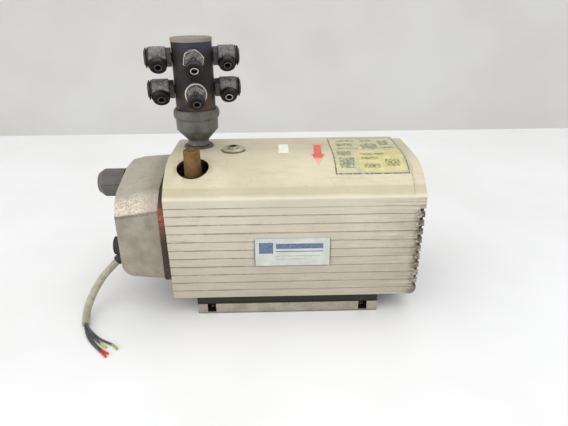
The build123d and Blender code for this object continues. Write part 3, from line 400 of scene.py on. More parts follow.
def hood_finish():
    """Aged cream enamel: soft blotches, painted shade in the grooves and on bands, painted highlight lines, chips
    on the edges.
    """
    paint = Paint("hood_enamel", rough=0.42)
    broad = paint.noise(14.0, 4.0, 0.55)
    tone = paint.mix(paint.band(broad, 0.3, 0.7), lin(200, 189, 160), lin(216, 206, 178))
    streaks = paint.noise(1.0, 4.0, 0.65, at=paint.stretch((16.0, 60.0, 260.0)))
    tone = paint.mix(paint.band(streaks, 0.52, 0.78, 0.0, 0.3), tone, lin(160, 148, 120))
    stains = paint.noise(55.0, 6.0, 0.72, 0.6)
    tone = paint.mix(paint.band(stains, 0.58, 0.78, 0.0, 0.4), tone, lin(150, 132, 98))
    # Painted shade in the grooves, made patchy.
    grooves = paint.calc("SUBTRACT", 1.0, paint.band(paint.crevice(0.005), 0.3, 0.9))
    patchy = paint.band(paint.noise(30.0, 5.0, 0.7), 0.3, 0.7, 0.35, 1.0)
    tone = paint.mix(paint.calc("MULTIPLY", grooves, patchy), tone, lin(96, 84, 62))
    # Soot streaks near the exhaust end, held to grooves and gaps by the occlusion mask: soot and painted shade.
    left_end = paint.band(paint.axis("X"), -0.13, 0.02, 1.0, 0.2)
    soot_and_shade = paint.band(paint.noise(1.0, 4.0, 0.65, at=paint.stretch((26.0, 26.0, 110.0))), 0.44, 0.54)
    gaps = paint.calc("SUBTRACT", 1.0, paint.band(paint.crevice(0.005), 0.7, 1.0))
    soot_and_shade = paint.calc("MULTIPLY", paint.calc("MULTIPLY", soot_and_shade, left_end), gaps)
    tone = paint.mix(soot_and_shade, tone, lin(34, 27, 18))
    specks = paint.band(paint.noise(520.0, 3.0, 0.7), 0.67, 0.73)
    sparse = paint.band(paint.noise(24.0, 3.0, 0.6), 0.5, 0.62)
    tone = paint.mix(paint.calc("MULTIPLY", specks, sparse), tone, lin(92, 74, 52))
    side_share = paint.band(paint.axis("Z"), 0.190, 0.197, 1.0, 0.0)
    tone = paint.mix(paint.calc("MULTIPLY", side_share, 0.55), tone, lin(196, 188, 176))
    lines = paint.noise(1.0, 3.0, 0.7, at=paint.stretch((9.0, 9.0, 620.0)))
    lines = paint.calc("ADD", lines, paint.calc("MULTIPLY", paint.calc("SUBTRACT", stains, 0.5), 0.35))
    boards = paint.band(paint.axis("Z"), 0.170, 0.184, 1.0, 0.0)
    dark_lines = paint.calc("MULTIPLY", paint.band(lines, 0.61, 0.68), boards)
    tone = paint.mix(paint.calc("MULTIPLY", dark_lines, 0.5), tone, lin(142, 132, 112))
    # Pale lines along the boards are painted highlights.
    highlight_lines = paint.calc("MULTIPLY", paint.band(lines, 0.33, 0.40, 1.0, 0.0), boards)
    tone = paint.mix(paint.calc("MULTIPLY", highlight_lines, 0.6), tone, lin(232, 224, 204))
    # Painted highlight line along the shoulder edge.
    shoulder_highlight = paint.within(paint.axis("Z"), 0.1935, 0.1975, 0.0016)
    tone = paint.mix(paint.calc("MULTIPLY", shoulder_highlight, 0.5), tone, lin(232, 222, 206))
    # Painted shade on the steeper band just above the shoulder.
    bend_shade = paint.within(paint.axis("Z"), 0.1995, 0.2085, 0.0012)
    tone = paint.mix(paint.calc("MULTIPLY", bend_shade, 0.32), tone, lin(166, 152, 116))
    # Painted shade, in spots, at the high X end of the boards where their open slot ends sit.
    notch_shade = paint.calc("MULTIPLY", paint.band(paint.axis("X"), 0.180, 0.194), boards)
    spots = paint.band(paint.noise(170.0, 4.0, 0.7), 0.38, 0.54)
    tone = paint.mix(paint.calc("MULTIPLY", notch_shade, spots), tone, lin(66, 52, 36))
    far_end = paint.calc("MULTIPLY", paint.band(paint.axis("X"), 0.10, 0.20, 0.0, 0.5), side_share)
    tone = paint.mix(paint.calc("MULTIPLY", far_end, paint.band(lines, 0.40, 0.60)), tone, lin(122, 110, 86))
    low = paint.band(paint.axis("Z"), 0.04, 0.19, 0.42, 0.06)
    tone = paint.mix(paint.calc("MULTIPLY", low, paint.band(streaks, 0.2, 0.6, 0.6, 1.0)), tone,
                     lin(132, 122, 100))
    # Painted shade: the crown darker towards the ridge, where less light falls.
    ridge_shade = paint.band(paint.axis("Y"), -0.045, 0.0, 0.0, 0.24)
    tone = paint.mix(ridge_shade, tone, lin(150, 140, 108))
    turned = Matrix.Rotation(-EXHAUST_TILT, 3, "X")
    shift = -(turned @ EXHAUST_PLACE)
    local = paint.new("ShaderNodeSeparateXYZ")
    paint.put(local.inputs[0], paint.stretch((1, 1, 1), (-EXHAUST_TILT, 0, 0), shift))
    squares = [paint.calc("MULTIPLY", local.outputs[name], local.outputs[name]) for name in ("X", "Y")]
    from_axis = paint.calc("SQRT", paint.calc("ADD", *squares))
    bore = paint.band(from_axis, 0.02348, 0.02372, 1.0, 0.0)
    tone = paint.mix(bore, tone, paint.mix(paint.band(stains, 0.4, 0.6), lin(54, 38, 26), lin(112, 72, 46)))
    halo = paint.calc("MULTIPLY", paint.band(from_axis, 0.024, 0.034, 0.5, 0.0),
                      paint.band(stains, 0.42, 0.6))
    tone = paint.mix(halo, tone, lin(158, 138, 98))
    chips = paint.calc("MULTIPLY", paint.band(paint.edge(0.0012), 0.12, 0.3), paint.band(stains, 0.5, 0.62))
    tone = paint.mix(chips, tone, lin(104, 84, 62))
    paint.colour(tone)
    paint.rough(paint.band(paint.calc("ADD", streaks, broad), 0.7, 1.3, 0.34, 0.55))
    skin = paint.calc("MULTIPLY", paint.noise(1400.0, 2.0), 0.25)
    paint.bump(paint.calc("ADD", skin, paint.noise(120.0, 3.0)), 0.00006, 0.7)
    return paint.material


def casting_finish():
    """Worn grey enamel on rough cast metal, paler and speckled on the upper facet."""
    paint = Paint("casting_enamel", rough=0.55, metal=0.1)
    broad = paint.noise(26.0, 5.0, 0.6)
    tone = paint.mix(paint.band(broad, 0.3, 0.7), lin(132, 124, 108), lin(158, 150, 136))
    rise = paint.calc("MULTIPLY", paint.calc("ADD", paint.axis("X"), 0.25), 0.15)
    wobble = paint.calc("MULTIPLY", paint.calc("SUBTRACT", paint.noise(160.0, 4.0), 0.5), 0.004)
    height = paint.calc("ADD", paint.calc("SUBTRACT", paint.axis("Z"), rise), wobble)
    worn = paint.calc("MULTIPLY", paint.band(height, 0.1655, 0.168),
                      paint.band(height, 0.182, 0.195, 1.0, 0.0))
    fine = paint.noise(420.0, 5.0, 0.78)
    speckle = paint.mix(paint.band(fine, 0.38, 0.62), lin(172, 156, 136), lin(236, 224, 208))
    tone = paint.mix(paint.calc("MULTIPLY", worn, 0.85), tone, speckle)
    tone = paint.mix(paint.band(height, 0.186, 0.198, 0.0, 0.6), tone, lin(184, 178, 162))
    seam = paint.within(height, 0.1625, 0.1665, 0.0012)
    tone = paint.mix(paint.calc("MULTIPLY", seam, paint.band(fine, 0.35, 0.6, 0.25, 0.85)), tone,
                     lin(112, 98, 80))
    streaks = paint.noise(1.0, 5.0, 0.7, at=paint.stretch((90.0, 90.0, 14.0)))
    tone = paint.mix(paint.band(streaks, 0.5, 0.75, 0.0, 0.4), tone, lin(104, 94, 76))
    rear = paint.band(paint.calc("ADD", paint.axis("X"), wobble), -0.214, -0.192, 0.0, 0.5)
    tone = paint.mix(paint.calc("MULTIPLY", rear, paint.band(fine, 0.3, 0.6)), tone, lin(128, 112, 92))
    specks = paint.band(fine, 0.6, 0.72, 0.0, 0.6)
    tone = paint.mix(specks, tone, lin(94, 82, 64))
    pale = paint.band(paint.noise(520.0, 4.0, 0.75), 0.64, 0.74, 0.0, 0.5)
    tone = paint.mix(pale, tone, lin(206, 198, 184))
    # Painted shade in the casting's corners and recesses.
    corners = paint.calc("SUBTRACT", 1.0, paint.band(paint.crevice(0.008), 0.3, 0.9))
    tone = paint.mix(corners, tone, lin(72, 60, 46))
    rubbed = paint.band(paint.edge(0.002), 0.06, 0.25, 0.0, 0.5)
    tone = paint.mix(rubbed, tone, lin(184, 176, 162))
    paint.colour(tone)
    paint.rough(paint.band(fine, 0.3, 0.7, 0.45, 0.72))
    grit = paint.calc("ADD", paint.noise(650.0, 4.0, 0.7), paint.calc("MULTIPLY", paint.noise(90.0), 1.5))
    paint.bump(grit, 0.00026, 0.8)
    return paint.material


def rust_finish():
    """Rusty iron edge: greenish brown above, red-brown at mid height, blackish below."""
    paint = Paint("rusty_iron", rough=0.9)
    flakes = paint.noise(240.0, 6.0, 0.75, 0.4)
    tone = paint.mix(paint.band(flakes, 0.35, 0.65), lin(92, 50, 38), lin(162, 98, 78))
    patches = paint.noise(48.0, 4.0, 0.6)
    tone = paint.mix(paint.band(patches, 0.48, 0.7, 0.0, 0.6), tone, lin(66, 48, 36))
    height = paint.calc("ADD", paint.axis("Z"), paint.calc("MULTIPLY", patches, 0.02))
    tone = paint.mix(paint.band(height, 0.188, 0.200), tone, lin(56, 46, 34))
    tone = paint.mix(paint.band(height, 0.135, 0.172, 0.92, 0.0), tone, lin(42, 34, 28))
    chips = paint.band(paint.noise(620.0, 4.0, 0.75), 0.6, 0.68, 0.0, 0.85)
    tone = paint.mix(chips, tone, lin(170, 148, 122))
    paint.colour(tone)
    paint.rough(paint.band(flakes, 0.3, 0.7, 0.75, 0.98))
    paint.bump(flakes, 0.0006, 1.0)
    return paint.material


def bronze_finish():
    """Sintered bronze: small balls fused together, oily and dull."""
    paint = Paint("sintered_bronze", rough=0.62, metal=0.55)
    grains = paint.cells(1500.0)
    broad = paint.noise(120.0, 4.0)
    tone = paint.mix(paint.band(broad, 0.3, 0.7), lin(118, 90, 50), lin(160, 126, 74))
    tone = paint.mix(paint.band(grains, 0.25, 0.7, 0.0, 0.6), tone, lin(78, 56, 30))
    lower = paint.band(paint.axis("Z"), 0.225, 0.243, 0.5, 0.0)
    paint.colour(paint.mix(lower, tone, lin(96, 66, 34)))
    paint.rough(paint.band(broad, 0.3, 0.7, 0.5, 0.75))
    paint.bump(paint.calc("SUBTRACT", 1.0, grains), 0.00025, 0.8)
    return paint.material


def fitting_finish():
    """Dark grey moulded fitting, scuffed and speckled with pale dust."""
    paint = Paint("fitting_plastic", rough=0.45)
    broad = paint.noise(150.0, 4.0, 0.6)
    fine = paint.noise(520.0, 5.0, 0.78)
    tone = paint.mix(paint.band(broad, 0.35, 0.65), lin(74, 70, 71), lin(112, 106, 105))
    tone = paint.mix(paint.band(fine, 0.52, 0.64, 0.0, 0.8), tone, lin(178, 172, 164))
    tone = paint.mix(paint.band(fine, 0.34, 0.47, 0.9, 0.0), tone, lin(24, 21, 23))
    # Painted shade in the fitting's corners.
    corners = paint.calc("SUBTRACT", 1.0, paint.band(paint.crevice(0.005), 0.35, 0.95))
    paint.colour(paint.mix(corners, tone, lin(34, 31, 30)))
    paint.rough(paint.band(fine, 0.3, 0.7, 0.36, 0.6))
    paint.bump(paint.calc("ADD", fine, broad), 0.00012, 0.8)
    return paint.material


def tube_finish():
    """Dark anodised tube: soft vertical wear, a painted bluish sheen high on the front, grimy low down."""
    paint = Paint("dark_anodised", rough=0.5, metal=0.0, Specular_IOR_Level=0.22)
    broad = paint.noise(34.0, 4.0, 0.6)
    tone = paint.mix(paint.band(broad, 0.3, 0.7), lin(30, 27, 27), lin(42, 38, 38))
    # Painted bluish sheen high on the front of the tube.
    painted_sheen = paint.calc("MULTIPLY", paint.band(paint.axis("Z"), 0.375, 0.392),
                       paint.band(paint.axis("X"), -0.16, -0.14))
    tone = paint.mix(paint.calc("MULTIPLY", painted_sheen, 0.5), tone, lin(74, 72, 92))
    wear = paint.noise(1.0, 5.0, 0.7, at=paint.stretch((300.0, 300.0, 24.0)))
    tone = paint.mix(paint.band(wear, 0.56, 0.76, 0.0, 0.4), tone, lin(84, 76, 66))
    overlay_share = paint.calc("MULTIPLY", paint.band(paint.axis("Z"), 0.30, 0.335, 0.6, 0.0),
                       paint.band(broad, 0.4, 0.6))
    tone = paint.mix(overlay_share, tone, lin(92, 74, 56))
    specks = paint.band(paint.noise(620.0, 3.0, 0.7), 0.66, 0.74, 0.0, 0.6)
    paint.colour(paint.mix(specks, tone, lin(120, 112, 98)))
    paint.rough(paint.band(wear, 0.3, 0.7, 0.42, 0.62))
    paint.bump(paint.noise(1.0, 3.0, 0.6, at=paint.stretch((900.0, 900.0, 60.0))), 0.00003)
    return paint.material


enamel = hood_finish()
casting = casting_finish()
rust = rust_finish()
bronze = bronze_finish()
steel = plain_finish("zinc_steel", lin(190, 186, 176), 0.34, 0.85, dirt_and_shade=SOOT_AND_SHADE, brushed=(300.0, 300.0, 60.0))
ground = plain_finish("ground_steel", lin(196, 196, 194), 0.22, 1.0, dirt_and_shade=SOOT_AND_SHADE, dirt_and_shade_share=0.15,
                      brushed=(20.0, 900.0, 900.0))
iron = plain_finish("grey_iron", lin(110, 104, 96), 0.6, 0.6, depth=0.0002, grain=500.0, dirt_and_shade=lin(74, 46, 30))
# Black base plate paint, darkened further to stand in for the shade under the hood's overhang: black paint and
# painted shade.
base_black_and_shade = plain_finish("base_paint", lin(30, 26, 20), 0.6, 0.0, depth=0.0001, dirt_and_shade=lin(22, 18, 14))
rail_metal = plain_finish("rail_aluminium", lin(172, 164, 148), 0.5, 0.35, dirt_and_shade=lin(92, 78, 60),
                          dirt_and_shade_share=0.5,
                          brushed=(30.0, 500.0, 500.0))
black = plain_finish("knob_plastic", lin(92, 87, 83), 0.5, 0.0, spread=0.08, grain=1400.0,
                     dirt_and_shade=lin(120, 112, 98),
                     dirt_and_shade_share=0.12)
fan_plastic = plain_finish("fan_plastic", lin(48, 47, 46), 0.55, 0.0, dirt_and_shade=lin(120, 110, 96), dirt_and_shade_share=0.3)
washer = plain_finish("dirty_steel", lin(188, 178, 152), 0.34, 0.3, spread=0.25, dirt_and_shade=lin(104, 88, 62),
                      dirt_and_shade_share=0.5)
# Near-black colour for the rails' bolt pockets and the hood screw's socket: painted shade in recesses.
recess_shade = plain_finish("recess_shade", lin(40, 34, 26), 0.6, 0.2)
brass = plain_finish("brass", lin(176, 146, 84), 0.35, 0.9, dirt_and_shade=lin(80, 62, 34),
                     brushed=(60.0, 700.0, 700.0))
rubber = plain_finish("black_rubber", lin(46, 45, 43), 0.72, 0.0, grain=1200.0, dirt_and_shade=lin(110, 102, 88),
                      dirt_and_shade_share=0.2)
reducer = plain_finish("grey_pvc", lin(90, 89, 83), 0.42, 0.0, spread=0.24, dirt_and_shade=lin(50, 47, 38),
                       dirt_and_shade_share=0.5,
                       brushed=(260.0, 260.0, 30.0))
flared = plain_finish("dusty_rubber", lin(92, 90, 78), 0.6, 0.0, spread=0.24, dirt_and_shade=lin(48, 44, 36),
                      dirt_and_shade_share=0.5)
dark_tube = tube_finish()
cap_plastic = plain_finish("cap_plastic", lin(136, 128, 112), 0.5, 0.0, dirt_and_shade=lin(74, 64, 50), dirt_and_shade_share=0.3)
nickel = plain_finish("nickel", lin(206, 200, 190), 0.3, 0.6, dirt_and_shade=lin(70, 64, 56), dirt_and_shade_share=0.75)
adapter = plain_finish("dull_nickel", lin(60, 58, 54), 0.4, 0.4, spread=0.2, dirt_and_shade=lin(24, 24, 22),
                       dirt_and_shade_share=0.4)
fitting = fitting_finish()
port_black = plain_finish("port_plastic", lin(20, 18, 20), 0.4, 0.0, spread=0.2, dirt_and_shade=lin(84, 78, 74),
                          dirt_and_shade_share=0.16)
# One ring metal in a lit copy and a shaded copy: the bright one is a painted highlight, the dull one painted
# shade.
lit_collet_metal = plain_finish("lit_collet_metal", lin(206, 206, 208), 0.3, 0.3, dirt_and_shade=lin(60, 58, 56), dirt_and_shade_share=0.3)
shaded_collet_metal = plain_finish("shaded_collet_metal", lin(92, 90, 94), 0.4, 0.2, dirt_and_shade=lin(40, 38, 38), dirt_and_shade_share=0.4)
aluminium = plain_finish("cast_aluminium", lin(160, 158, 152), 0.5, 0.8, depth=0.0002, dirt_and_shade=lin(70, 62, 50))
copper = plain_finish("winding_copper", lin(168, 96, 56), 0.35, 0.6, brushed=(40.0, 900.0, 900.0))
laminations = plain_finish("laminated_steel", lin(112, 112, 114), 0.45, 0.8, brushed=(2200.0, 8.0, 8.0),
                           depth=0.0002)
carbon = plain_finish("carbon", lin(52, 52, 54), 0.4, 0.2, grain=1600.0)
paper = plain_finish("filter_paper", lin(204, 194, 166), 0.9, 0.0, grain=1800.0, depth=0.0001,
                     dirt_and_shade=lin(120, 104, 78))

# ------------------------------------------------------------- CAD pieces
refined("hood_cover", enamel, 0.0006, 3)
refined("silencer_housing", casting, 0.0012, 3)
refined("pump_flange", rust, 0.0008)
refined("exhaust_silencer", bronze, 0.0003, merge=False)
screw_look = refined("hood_screw", washer, 0.0004)
refined("base_plate", base_black_and_shade, 0.0006)
rail_looks = [refined(rail, rail_metal, 0.0005) for rail in ("base_rail_front", "base_rail_rear")]
refined("regulator_knob", black, 0.0008, 3)
refined("inlet_nipple", iron, 0.0004)
refined("inlet_grommet", flared, 0.0005)
refined("bell_reducer", reducer, 0.0008, 3)
refined("manifold_body", dark_tube, 0.0006)
refined("manifold_cap", cap_plastic, 0.0005)
refined("port_adapters", adapter, 0.0004)
refined("cable_gland", rubber, 0.0008)
refined("fan_guard", fan_plastic, 0.0005)
refined("rail_screws", steel, 0.0003)
refined("housing_screws", steel, 0.0003)

# distributor fittings, placed from the swivel and press joints
JOINTS = {joint["name"]: joint for joint in frame["joints"]}


def lathed(name, centre, along, profile, body, material, sides=48, start=0.0, soft=0.00025):
    """Closed turned piece from (radius, distance) pairs in mm about an axis."""
    side_way = Vector((0, 0, 1)).cross(along).normalized()
    other_way = along.cross(side_way)
    edit = bmesh.new()
    rings = []
    for radius, distance in profile:
        middle = centre + along * distance * MM
        if radius == 0:
            rings.append([edit.verts.new(middle)])
            continue
        rings.append([])
        for number in range(sides):
            angle = start + 2 * math.pi * number / sides
            out = side_way * math.cos(angle) + other_way * math.sin(angle)
            rings[-1].append(edit.verts.new(middle + out * radius * MM))
    pairs = list(zip(rings, rings[1:]))
    if profile[0][0]:
        pairs.append((rings[-1], rings[0]))
    for here, after in pairs:
        for number in range(sides):
            second = (number + 1) % sides
            corners = [here[number % len(here)], here[second % len(here)],
                       after[second % len(after)], after[number % len(after)]]
            edit.faces.new(list(dict.fromkeys(corners)))
    bmesh.ops.recalc_face_normals(edit, faces=edit.faces)
    for line in edit.edges:
        line.smooth = line.calc_face_angle(0) < math.radians(28)
    for face in edit.faces:
        face.smooth = True
    piece = new_piece(name, edit, body, material)
    return soften(piece, soft)


def repaint(piece, chooses, material):
    """Gives the faces whose centre chooses(centre) picks a second material."""
    piece.data.materials.append(material)
    for face in piece.data.polygons:
        if chooses(face.center):
            face.material_index = len(piece.data.materials) - 1


POCKETS = [item["box_m"] for item in RECORD["physics"]["openings"] if item["name"].startswith("bolt_pocket")]
POCKET_REACH = (0.002, 0.0, 0.0015)  # how far past each opening the dark walls go


def in_pocket(centre):
    """True for a face inside one of the rails' bolt pockets."""
    return any(
        all(low - reach <= value <= high + reach
            for low, value, high, reach in zip(box[0], centre, box[1], POCKET_REACH))
        for box in POCKETS
    )


# Painted shade on the walls of the rails' bolt pockets.
for rail_look in rail_looks:
    repaint(rail_look, in_pocket, recess_shade)

SCREW_LOW, SCREW_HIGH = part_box("hood_screw")
SCREW_X = (SCREW_LOW[0] + SCREW_HIGH[0]) / 2
SCREW_Y = (SCREW_LOW[1] + SCREW_HIGH[1]) / 2
SOCKET_RADIUS = 0.0048


def in_socket(centre):
    """True for a face inside the hood screw's socket."""
    return math.hypot(centre.x - SCREW_X, centre.y - SCREW_Y) < SOCKET_RADIUS


# Painted shade inside the hood screw's socket.
repaint(screw_look, in_socket, recess_shade)

HEAD_PROFILE = (
    (0, 63.9), (14.6, 63.9), (15, 64.3), (15, 65.3), (14.6, 65.7), (12.2, 65.9), (12.2, 66.9), (14.4, 67.1),
    (14.8, 67.5), (14.8, 68.5), (14.4, 68.9), (11.4, 69.1), (11.2, 70.2), (10.8, 70.6), (5.2, 70.6), (4.8,
                                                                                                      68.4),
    (0, 68.4),
)
RING_PROFILE = ((4.7, 4.6), (5.9, 4.6), (6.0, 4.8), (5.8, 4.95), (4.9, 4.95), (4.7, 4.8))
# Collet rings that get the lit copy of the ring metal, as a painted highlight; the rest get the shaded copy.
LIT_RINGS = (("front", "upper"), ("right", "lower"))
PORT_COLLAR = 0.0042
RIM_TURN = 0.3
RIM_PROFILE = ((13.6, 56.2), (15.3, 56.2), (15.9, 56.7), (15.9, 57.5), (15.3, 58.0), (13.6, 58.0))
for side in ("left", "front", "right"):
    for row in ("upper", "lower"):
        elbow = f"elbow_{side}_{row}"
        press = JOINTS[f"collet_{side}_{row}_press"]
        swivel = JOINTS[f"{elbow}_swivel"]
        middle = Vector(swivel["pos_m"])
        out = Vector(swivel["axis"]).normalized()
        facing = -Vector(press["axis"]).normalized()
        mount = next(item for item in RECORD["mounts"] if item["name"] == f"hose_port_{side}_{row}")
        port = Vector(mount["pos_m"])
        body_look = refined(elbow, fitting, 0.0004)
        repaint(body_look, lambda centre: (centre - port).dot(facing) > -PORT_COLLAR, port_black)
        refined(f"collet_{side}_{row}", port_black, 0.0002)
        ring_metal = lit_collet_metal if (side, row) in LIT_RINGS else shaded_collet_metal
        lathed(f"collet_ring_{side}_{row}", port, facing, RING_PROFILE, f"collet_{side}_{row}",
               ring_metal, soft=0)
        if side == "front":
            sides = 6 if row == "upper" else 48
            lathed(f"rim_{side}_{row}", middle, out, RIM_PROFILE, elbow, nickel, sides,
                   RIM_TURN)
        else:
            head = lathed(f"banjo_head_{side}_{row}", middle, out, HEAD_PROFILE, "pump_frame",
                          adapter)
            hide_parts("banjo_heads")

HIDDEN = {
    "pump_cylinder": rust, "pump_side_cover": iron, "cylinder_screws": steel, "pump_rotor": ground,
    "rotor_shaft": ground, "bearing_outer_rings": ground, "bearing_inner_rings": ground,
    "motor_frame": aluminium, "stator_core": laminations, "stator_windings": copper,
    "motor_rotor_core": laminations, "motor_end_shield": aluminium, "cooling_fan": fan_plastic,
    "inlet_filter": paper, "terminal_block": cap_plastic, "regulator_bush": brass,
    "spring_plate": brass,
}
for number in range(1, 8):
    HIDDEN[f"vane_{number}"] = carbon
for node, material in HIDDEN.items():
    NODES[node].data.materials.clear()
    NODES[node].data.materials.append(material)

# unbevelled copy of the regulator spring, with a mesh of its own
spring_look = refined("regulator_spring", ground, 0, merge=False)
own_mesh(spring_look)


# ------------------------------------------------------- plates and stickers
PLATE_LOW, PLATE_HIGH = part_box("name_plate")
LABEL_LOW = (0.072, -0.094)
LABEL_HIGH = (0.180, 0.044)
WHITE_LOW = (-0.010, -0.034)
WHITE_HIGH = (0.006, 0.014)


def plate_finish():
    """Printed plate: pale blue-grey ground, blue block, bar and line, faint rows."""
    paint = Paint("printed_plate", rough=0.4, metal=0.1)
    across, up = paint.axis("X"), paint.axis("Z")
    tone = paint.mix(paint.band(paint.noise(60.0, 5.0), 0.3, 0.7), lin(190, 194, 186), lin(206, 209, 201))
    ink = paint.mix(paint.band(paint.noise(500.0, 4.0, 0.7), 0.35, 0.6), lin(116, 130, 150), lin(78, 98, 134))
    tone = paint.mix(paint.block(across, up, (-0.0415, 0.1075), (-0.0205, 0.1255)), tone, ink)
    tone = paint.mix(paint.block(across, up, (-0.0165, 0.1150), (0.0535, 0.1235)), tone, ink)
    tone = paint.mix(paint.block(across, up, (-0.0165, 0.1100), (0.0535, 0.1112)), tone, lin(52, 62, 88))
    for row in range(2):
        low = 0.1022 - row * 0.0052
        mark = paint.block(across, up, (-0.0165, low), (0.049 - row * 0.02, low + 0.0016))
        tone = paint.mix(paint.calc("MULTIPLY", mark, 0.4), tone, lin(126, 136, 142))
    overlay_share = paint.band(paint.noise(300.0, 5.0, 0.75), 0.58, 0.74, 0.0, 0.35)
    inner = paint.block(across, up, (PLATE_LOW[0] + 0.0008, 0), (PLATE_HIGH[0] - 0.0008, 1))
    tone = paint.mix(paint.calc("SUBTRACT", 1.0, inner), tone, lin(96, 92, 84))
    paint.colour(paint.mix(overlay_share, tone, lin(128, 122, 108)))
    paint.rough(paint.band(paint.noise(90.0, 4.0), 0.3, 0.7, 0.32, 0.5))
    paint.bump(paint.noise(900.0, 2.0), 0.00002)
    return paint.material


def label_finish():
    """Faded instruction sticker: green-grey and yellow panels with plain blocks for its drawings."""
    paint = Paint("instruction_label", rough=0.5)
    across = paint.band_linear(paint.axis("X"), LABEL_LOW[0], LABEL_HIGH[0])
    along = paint.band_linear(paint.axis("Y"), LABEL_LOW[1], LABEL_HIGH[1])
    fade = paint.noise(70.0, 5.0, 0.7)
    fine = paint.noise(520.0, 5.0, 0.75)
    tone = paint.mix(paint.band(fade, 0.35, 0.65), lin(178, 176, 142), lin(204, 198, 162))
    yellow = paint.block(across, along, (0.34, 0.03), (0.97, 0.48))
    tone = paint.mix(yellow, tone,
                     paint.mix(paint.band(fade, 0.3, 0.7), lin(192, 182, 120), lin(216, 206, 150)))
    tone = paint.mix(paint.band(fine, 0.56, 0.66, 0.0, 0.4), tone, lin(238, 230, 176))
    tone = paint.mix(paint.band(fine, 0.34, 0.44, 0.45, 0.0), tone, lin(128, 132, 96))
    marks = (
        ((0.07, 0.08), (0.28, 0.26)), ((0.07, 0.32), (0.26, 0.46)), ((0.38, 0.32), (0.72, 0.38)),
        ((0.38, 0.22), (0.62, 0.27)), ((0.70, 0.10), (0.90, 0.22)), ((0.40, 0.08), (0.62, 0.14)),
        ((0.10, 0.54), (0.40, 0.60)), ((0.46, 0.54), (0.70, 0.76)), ((0.10, 0.66), (0.34, 0.78)),
        ((0.76, 0.56), (0.92, 0.62)), ((0.74, 0.68), (0.90, 0.88)), ((0.12, 0.84), (0.40, 0.92)),
        ((0.48, 0.84), (0.66, 0.93)),
    )
    scribble = paint.band(paint.noise(380.0, 4.0, 0.7), 0.42, 0.54)
    for low, high in marks:
        drawn = paint.calc("MULTIPLY", paint.block(across, along, low, high, 0.004), scribble)
        tone = paint.mix(paint.calc("MULTIPLY", drawn, 0.8), tone, lin(86, 98, 72))
    inner = paint.block(across, along, (0.016, 0.012), (0.984, 0.988), 0.002)
    dashes = paint.band(paint.noise(420.0, 2.0), 0.42, 0.52)
    rim = paint.calc("MULTIPLY", paint.calc("SUBTRACT", 1.0, inner), dashes)
    paint.colour(paint.mix(rim, tone, lin(78, 74, 54)))
    paint.rough(paint.band(fade, 0.3, 0.7, 0.4, 0.6))
    paint.bump(fine, 0.00003)
    return paint.material


def sticker_finish(name, dark, pale, tip=None):
    """One-colour sticker, scuffed; tip is its colour at the front end."""
    paint = Paint(name, rough=0.45)
    worn = paint.noise(380.0, 5.0, 0.7)
    tone = paint.mix(paint.band(worn, 0.35, 0.65), dark, pale)
    if tip:
        tone = paint.mix(paint.band(paint.axis("Y"), -0.062, -0.054, 0.85, 0.0), tone, tip)
    paint.colour(tone)
    paint.bump(worn, 0.00003)
    return paint.material


hood_mesh = NODES["hood_cover"].data
hood_tree = BVHTree.FromPolygons(
    [corner.co for corner in hood_mesh.vertices], [face.vertices[:] for face in hood_mesh.polygons]
)


def on_crown(x, y, lift):
    """Point over (x, y) at a height above the hood's crown."""
    found = hood_tree.ray_cast(Vector((x, y, 0.3)), Vector((0, 0, -1)))
    return found[0] + found[1] * lift


def crown_sticker(name, y_start, y_end, edges, material, thickness=0.00025, step=0.004):
    """Thin closed sticker laid over the crown; edges(y) gives its low and high X at y."""
    rows = max(2, round((y_end - y_start) / step))
    columns = 16
    edit = bmesh.new()
    grid = {}
    for row in range(rows + 1):
        y = y_start + (y_end - y_start) * row / rows
        low, high = edges(y)
        for column in range(columns + 1):
            x = low + (high - low) * column / columns
            for layer, lift in enumerate((0.00003, thickness)):
                grid[column, row, layer] = edit.verts.new(on_crown(x, y, lift))
    for column in range(columns):
        for row in range(rows):
            for layer in range(2):
                ring = [grid[column, row, layer], grid[column + 1, row, layer],
                        grid[column + 1, row + 1, layer], grid[column, row + 1, layer]]
                face = edit.faces.new(ring if layer else ring[::-1])
                face.smooth = True
    rim = [(column, 0) for column in range(columns)]
    rim += [(columns, row) for row in range(rows)]
    rim += [(column, rows) for column in range(columns, 0, -1)]
    rim += [(0, row) for row in range(rows, 0, -1)]
    for here, after in zip(rim, rim[1:] + rim[:1]):
        edit.faces.new([grid[*here, 0], grid[*after, 0], grid[*after, 1], grid[*here, 1]])
    return new_piece(name, edit, "pump_frame", material)


ARROW_TIP = (0.0482, -0.077)
ARROW_BACK = (0.0525, 0.008)
ARROW_NECK_Y = -0.043
ARROW_SHAFT = 0.0058
ARROW_HEAD = 0.0102


def arrow_edges(y):
    """Low and high X of the flat arrow that points to the front."""
    share = (y - ARROW_TIP[1]) / (ARROW_BACK[1] - ARROW_TIP[1])
    middle = ARROW_TIP[0] + (ARROW_BACK[0] - ARROW_TIP[0]) * share
    half = ARROW_SHAFT
    if y < ARROW_NECK_Y:
        half = max(0.0004, ARROW_HEAD * (y - ARROW_TIP[1]) / (ARROW_NECK_Y - ARROW_TIP[1]))
    return middle - half, middle + half


crown_sticker("instruction_label", LABEL_LOW[1], LABEL_HIGH[1], lambda y: (LABEL_LOW[0], LABEL_HIGH[0]),
              label_finish())
crown_sticker("white_sticker", WHITE_LOW[1], WHITE_HIGH[1], lambda y: (WHITE_LOW[0], WHITE_HIGH[0]),
              sticker_finish("white_sticker", lin(232, 228, 208), lin(246, 242, 226)))
crown_sticker("arrow_sticker", ARROW_TIP[1], ARROW_BACK[1], arrow_edges,
              sticker_finish("red_sticker", lin(204, 82, 66), lin(226, 108, 90),
                             lin(236, 180, 156)), step=0.001)
refined("name_plate", plate_finish(), 0.0002)


# ------------------------------------------------------------------ stage
TABLE_EDGE = 1.005
WALL_Y = 1.7


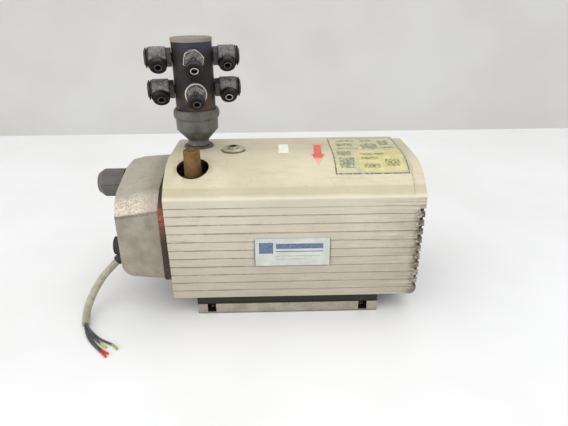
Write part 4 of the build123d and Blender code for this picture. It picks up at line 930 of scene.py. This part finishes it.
def stage_finish():
    """White table top, faintly uneven."""
    paint = Paint("table_top", rough=0.35)
    tone = paint.mix(paint.band(paint.noise(3.0, 3.0), 0.3, 0.7), lin(238, 237, 235), lin(244, 243, 242))
    paint.colour(tone)
    paint.rough(paint.band(paint.noise(8.0, 4.0), 0.3, 0.7, 0.3, 0.42))
    return paint.material


def backdrop_finish():
    """Pale grey wall."""
    paint = Paint("backdrop", rough=0.8)
    paint.colour(paint.mix(paint.band(paint.noise(2.0, 3.0), 0.3, 0.7), lin(202, 199, 194),
                           lin(208, 206, 201)))
    return paint.material


def flat_sheet(name, corners, material):
    """One flat face that belongs to the stage."""
    edit = bmesh.new()
    edit.faces.new([edit.verts.new(corner) for corner in corners])
    mesh = bpy.data.meshes.new(name)
    edit.to_mesh(mesh)
    edit.free()
    piece = bpy.data.objects.new(name, mesh)
    scene.collection.objects.link(piece)
    mesh.materials.append(material)
    return piece


flat_sheet("table", [(-4, -3, 0), (4, -3, 0), (4, TABLE_EDGE, 0), (-4, TABLE_EDGE, 0)], stage_finish())
flat_sheet("wall", [(-5, WALL_Y, -1.5), (5, WALL_Y, -1.5), (5, WALL_Y, 3), (-5, WALL_Y, 3)],
           backdrop_finish())

world = bpy.data.worlds.new("studio")
scene.world = world
world.use_nodes = True
world.node_tree.nodes["Background"].inputs["Color"].default_value = (0.95, 0.97, 1.0, 1.0)
world.node_tree.nodes["Background"].inputs["Strength"].default_value = 1.0


def softbox(name, place, aim, size, power):
    """Rectangular lamp at a place, turned towards aim."""
    data = bpy.data.lights.new(name, "AREA")
    data.shape = "RECTANGLE"
    data.size, data.size_y = size
    data.energy = power
    lamp = bpy.data.objects.new(name, data)
    scene.collection.objects.link(lamp)
    lamp.location = place
    lamp.rotation_euler = (Vector(aim) - Vector(place)).to_track_quat("-Z", "Y").to_euler()


softbox("key", (0.9, -1.5, 1.8), (0, 0, 0.12), (2.2, 1.8), 9.0)
softbox("fill", (-1.6, -1.3, 0.7), (-0.2, 0, 0.06), (1.8, 1.2), 11.0)
softbox("overhead", (0.2, 0.5, 2.2), (0, 0, 0.1), (2.4, 1.8), 7.0)
scene.view_settings.view_transform = "Standard"
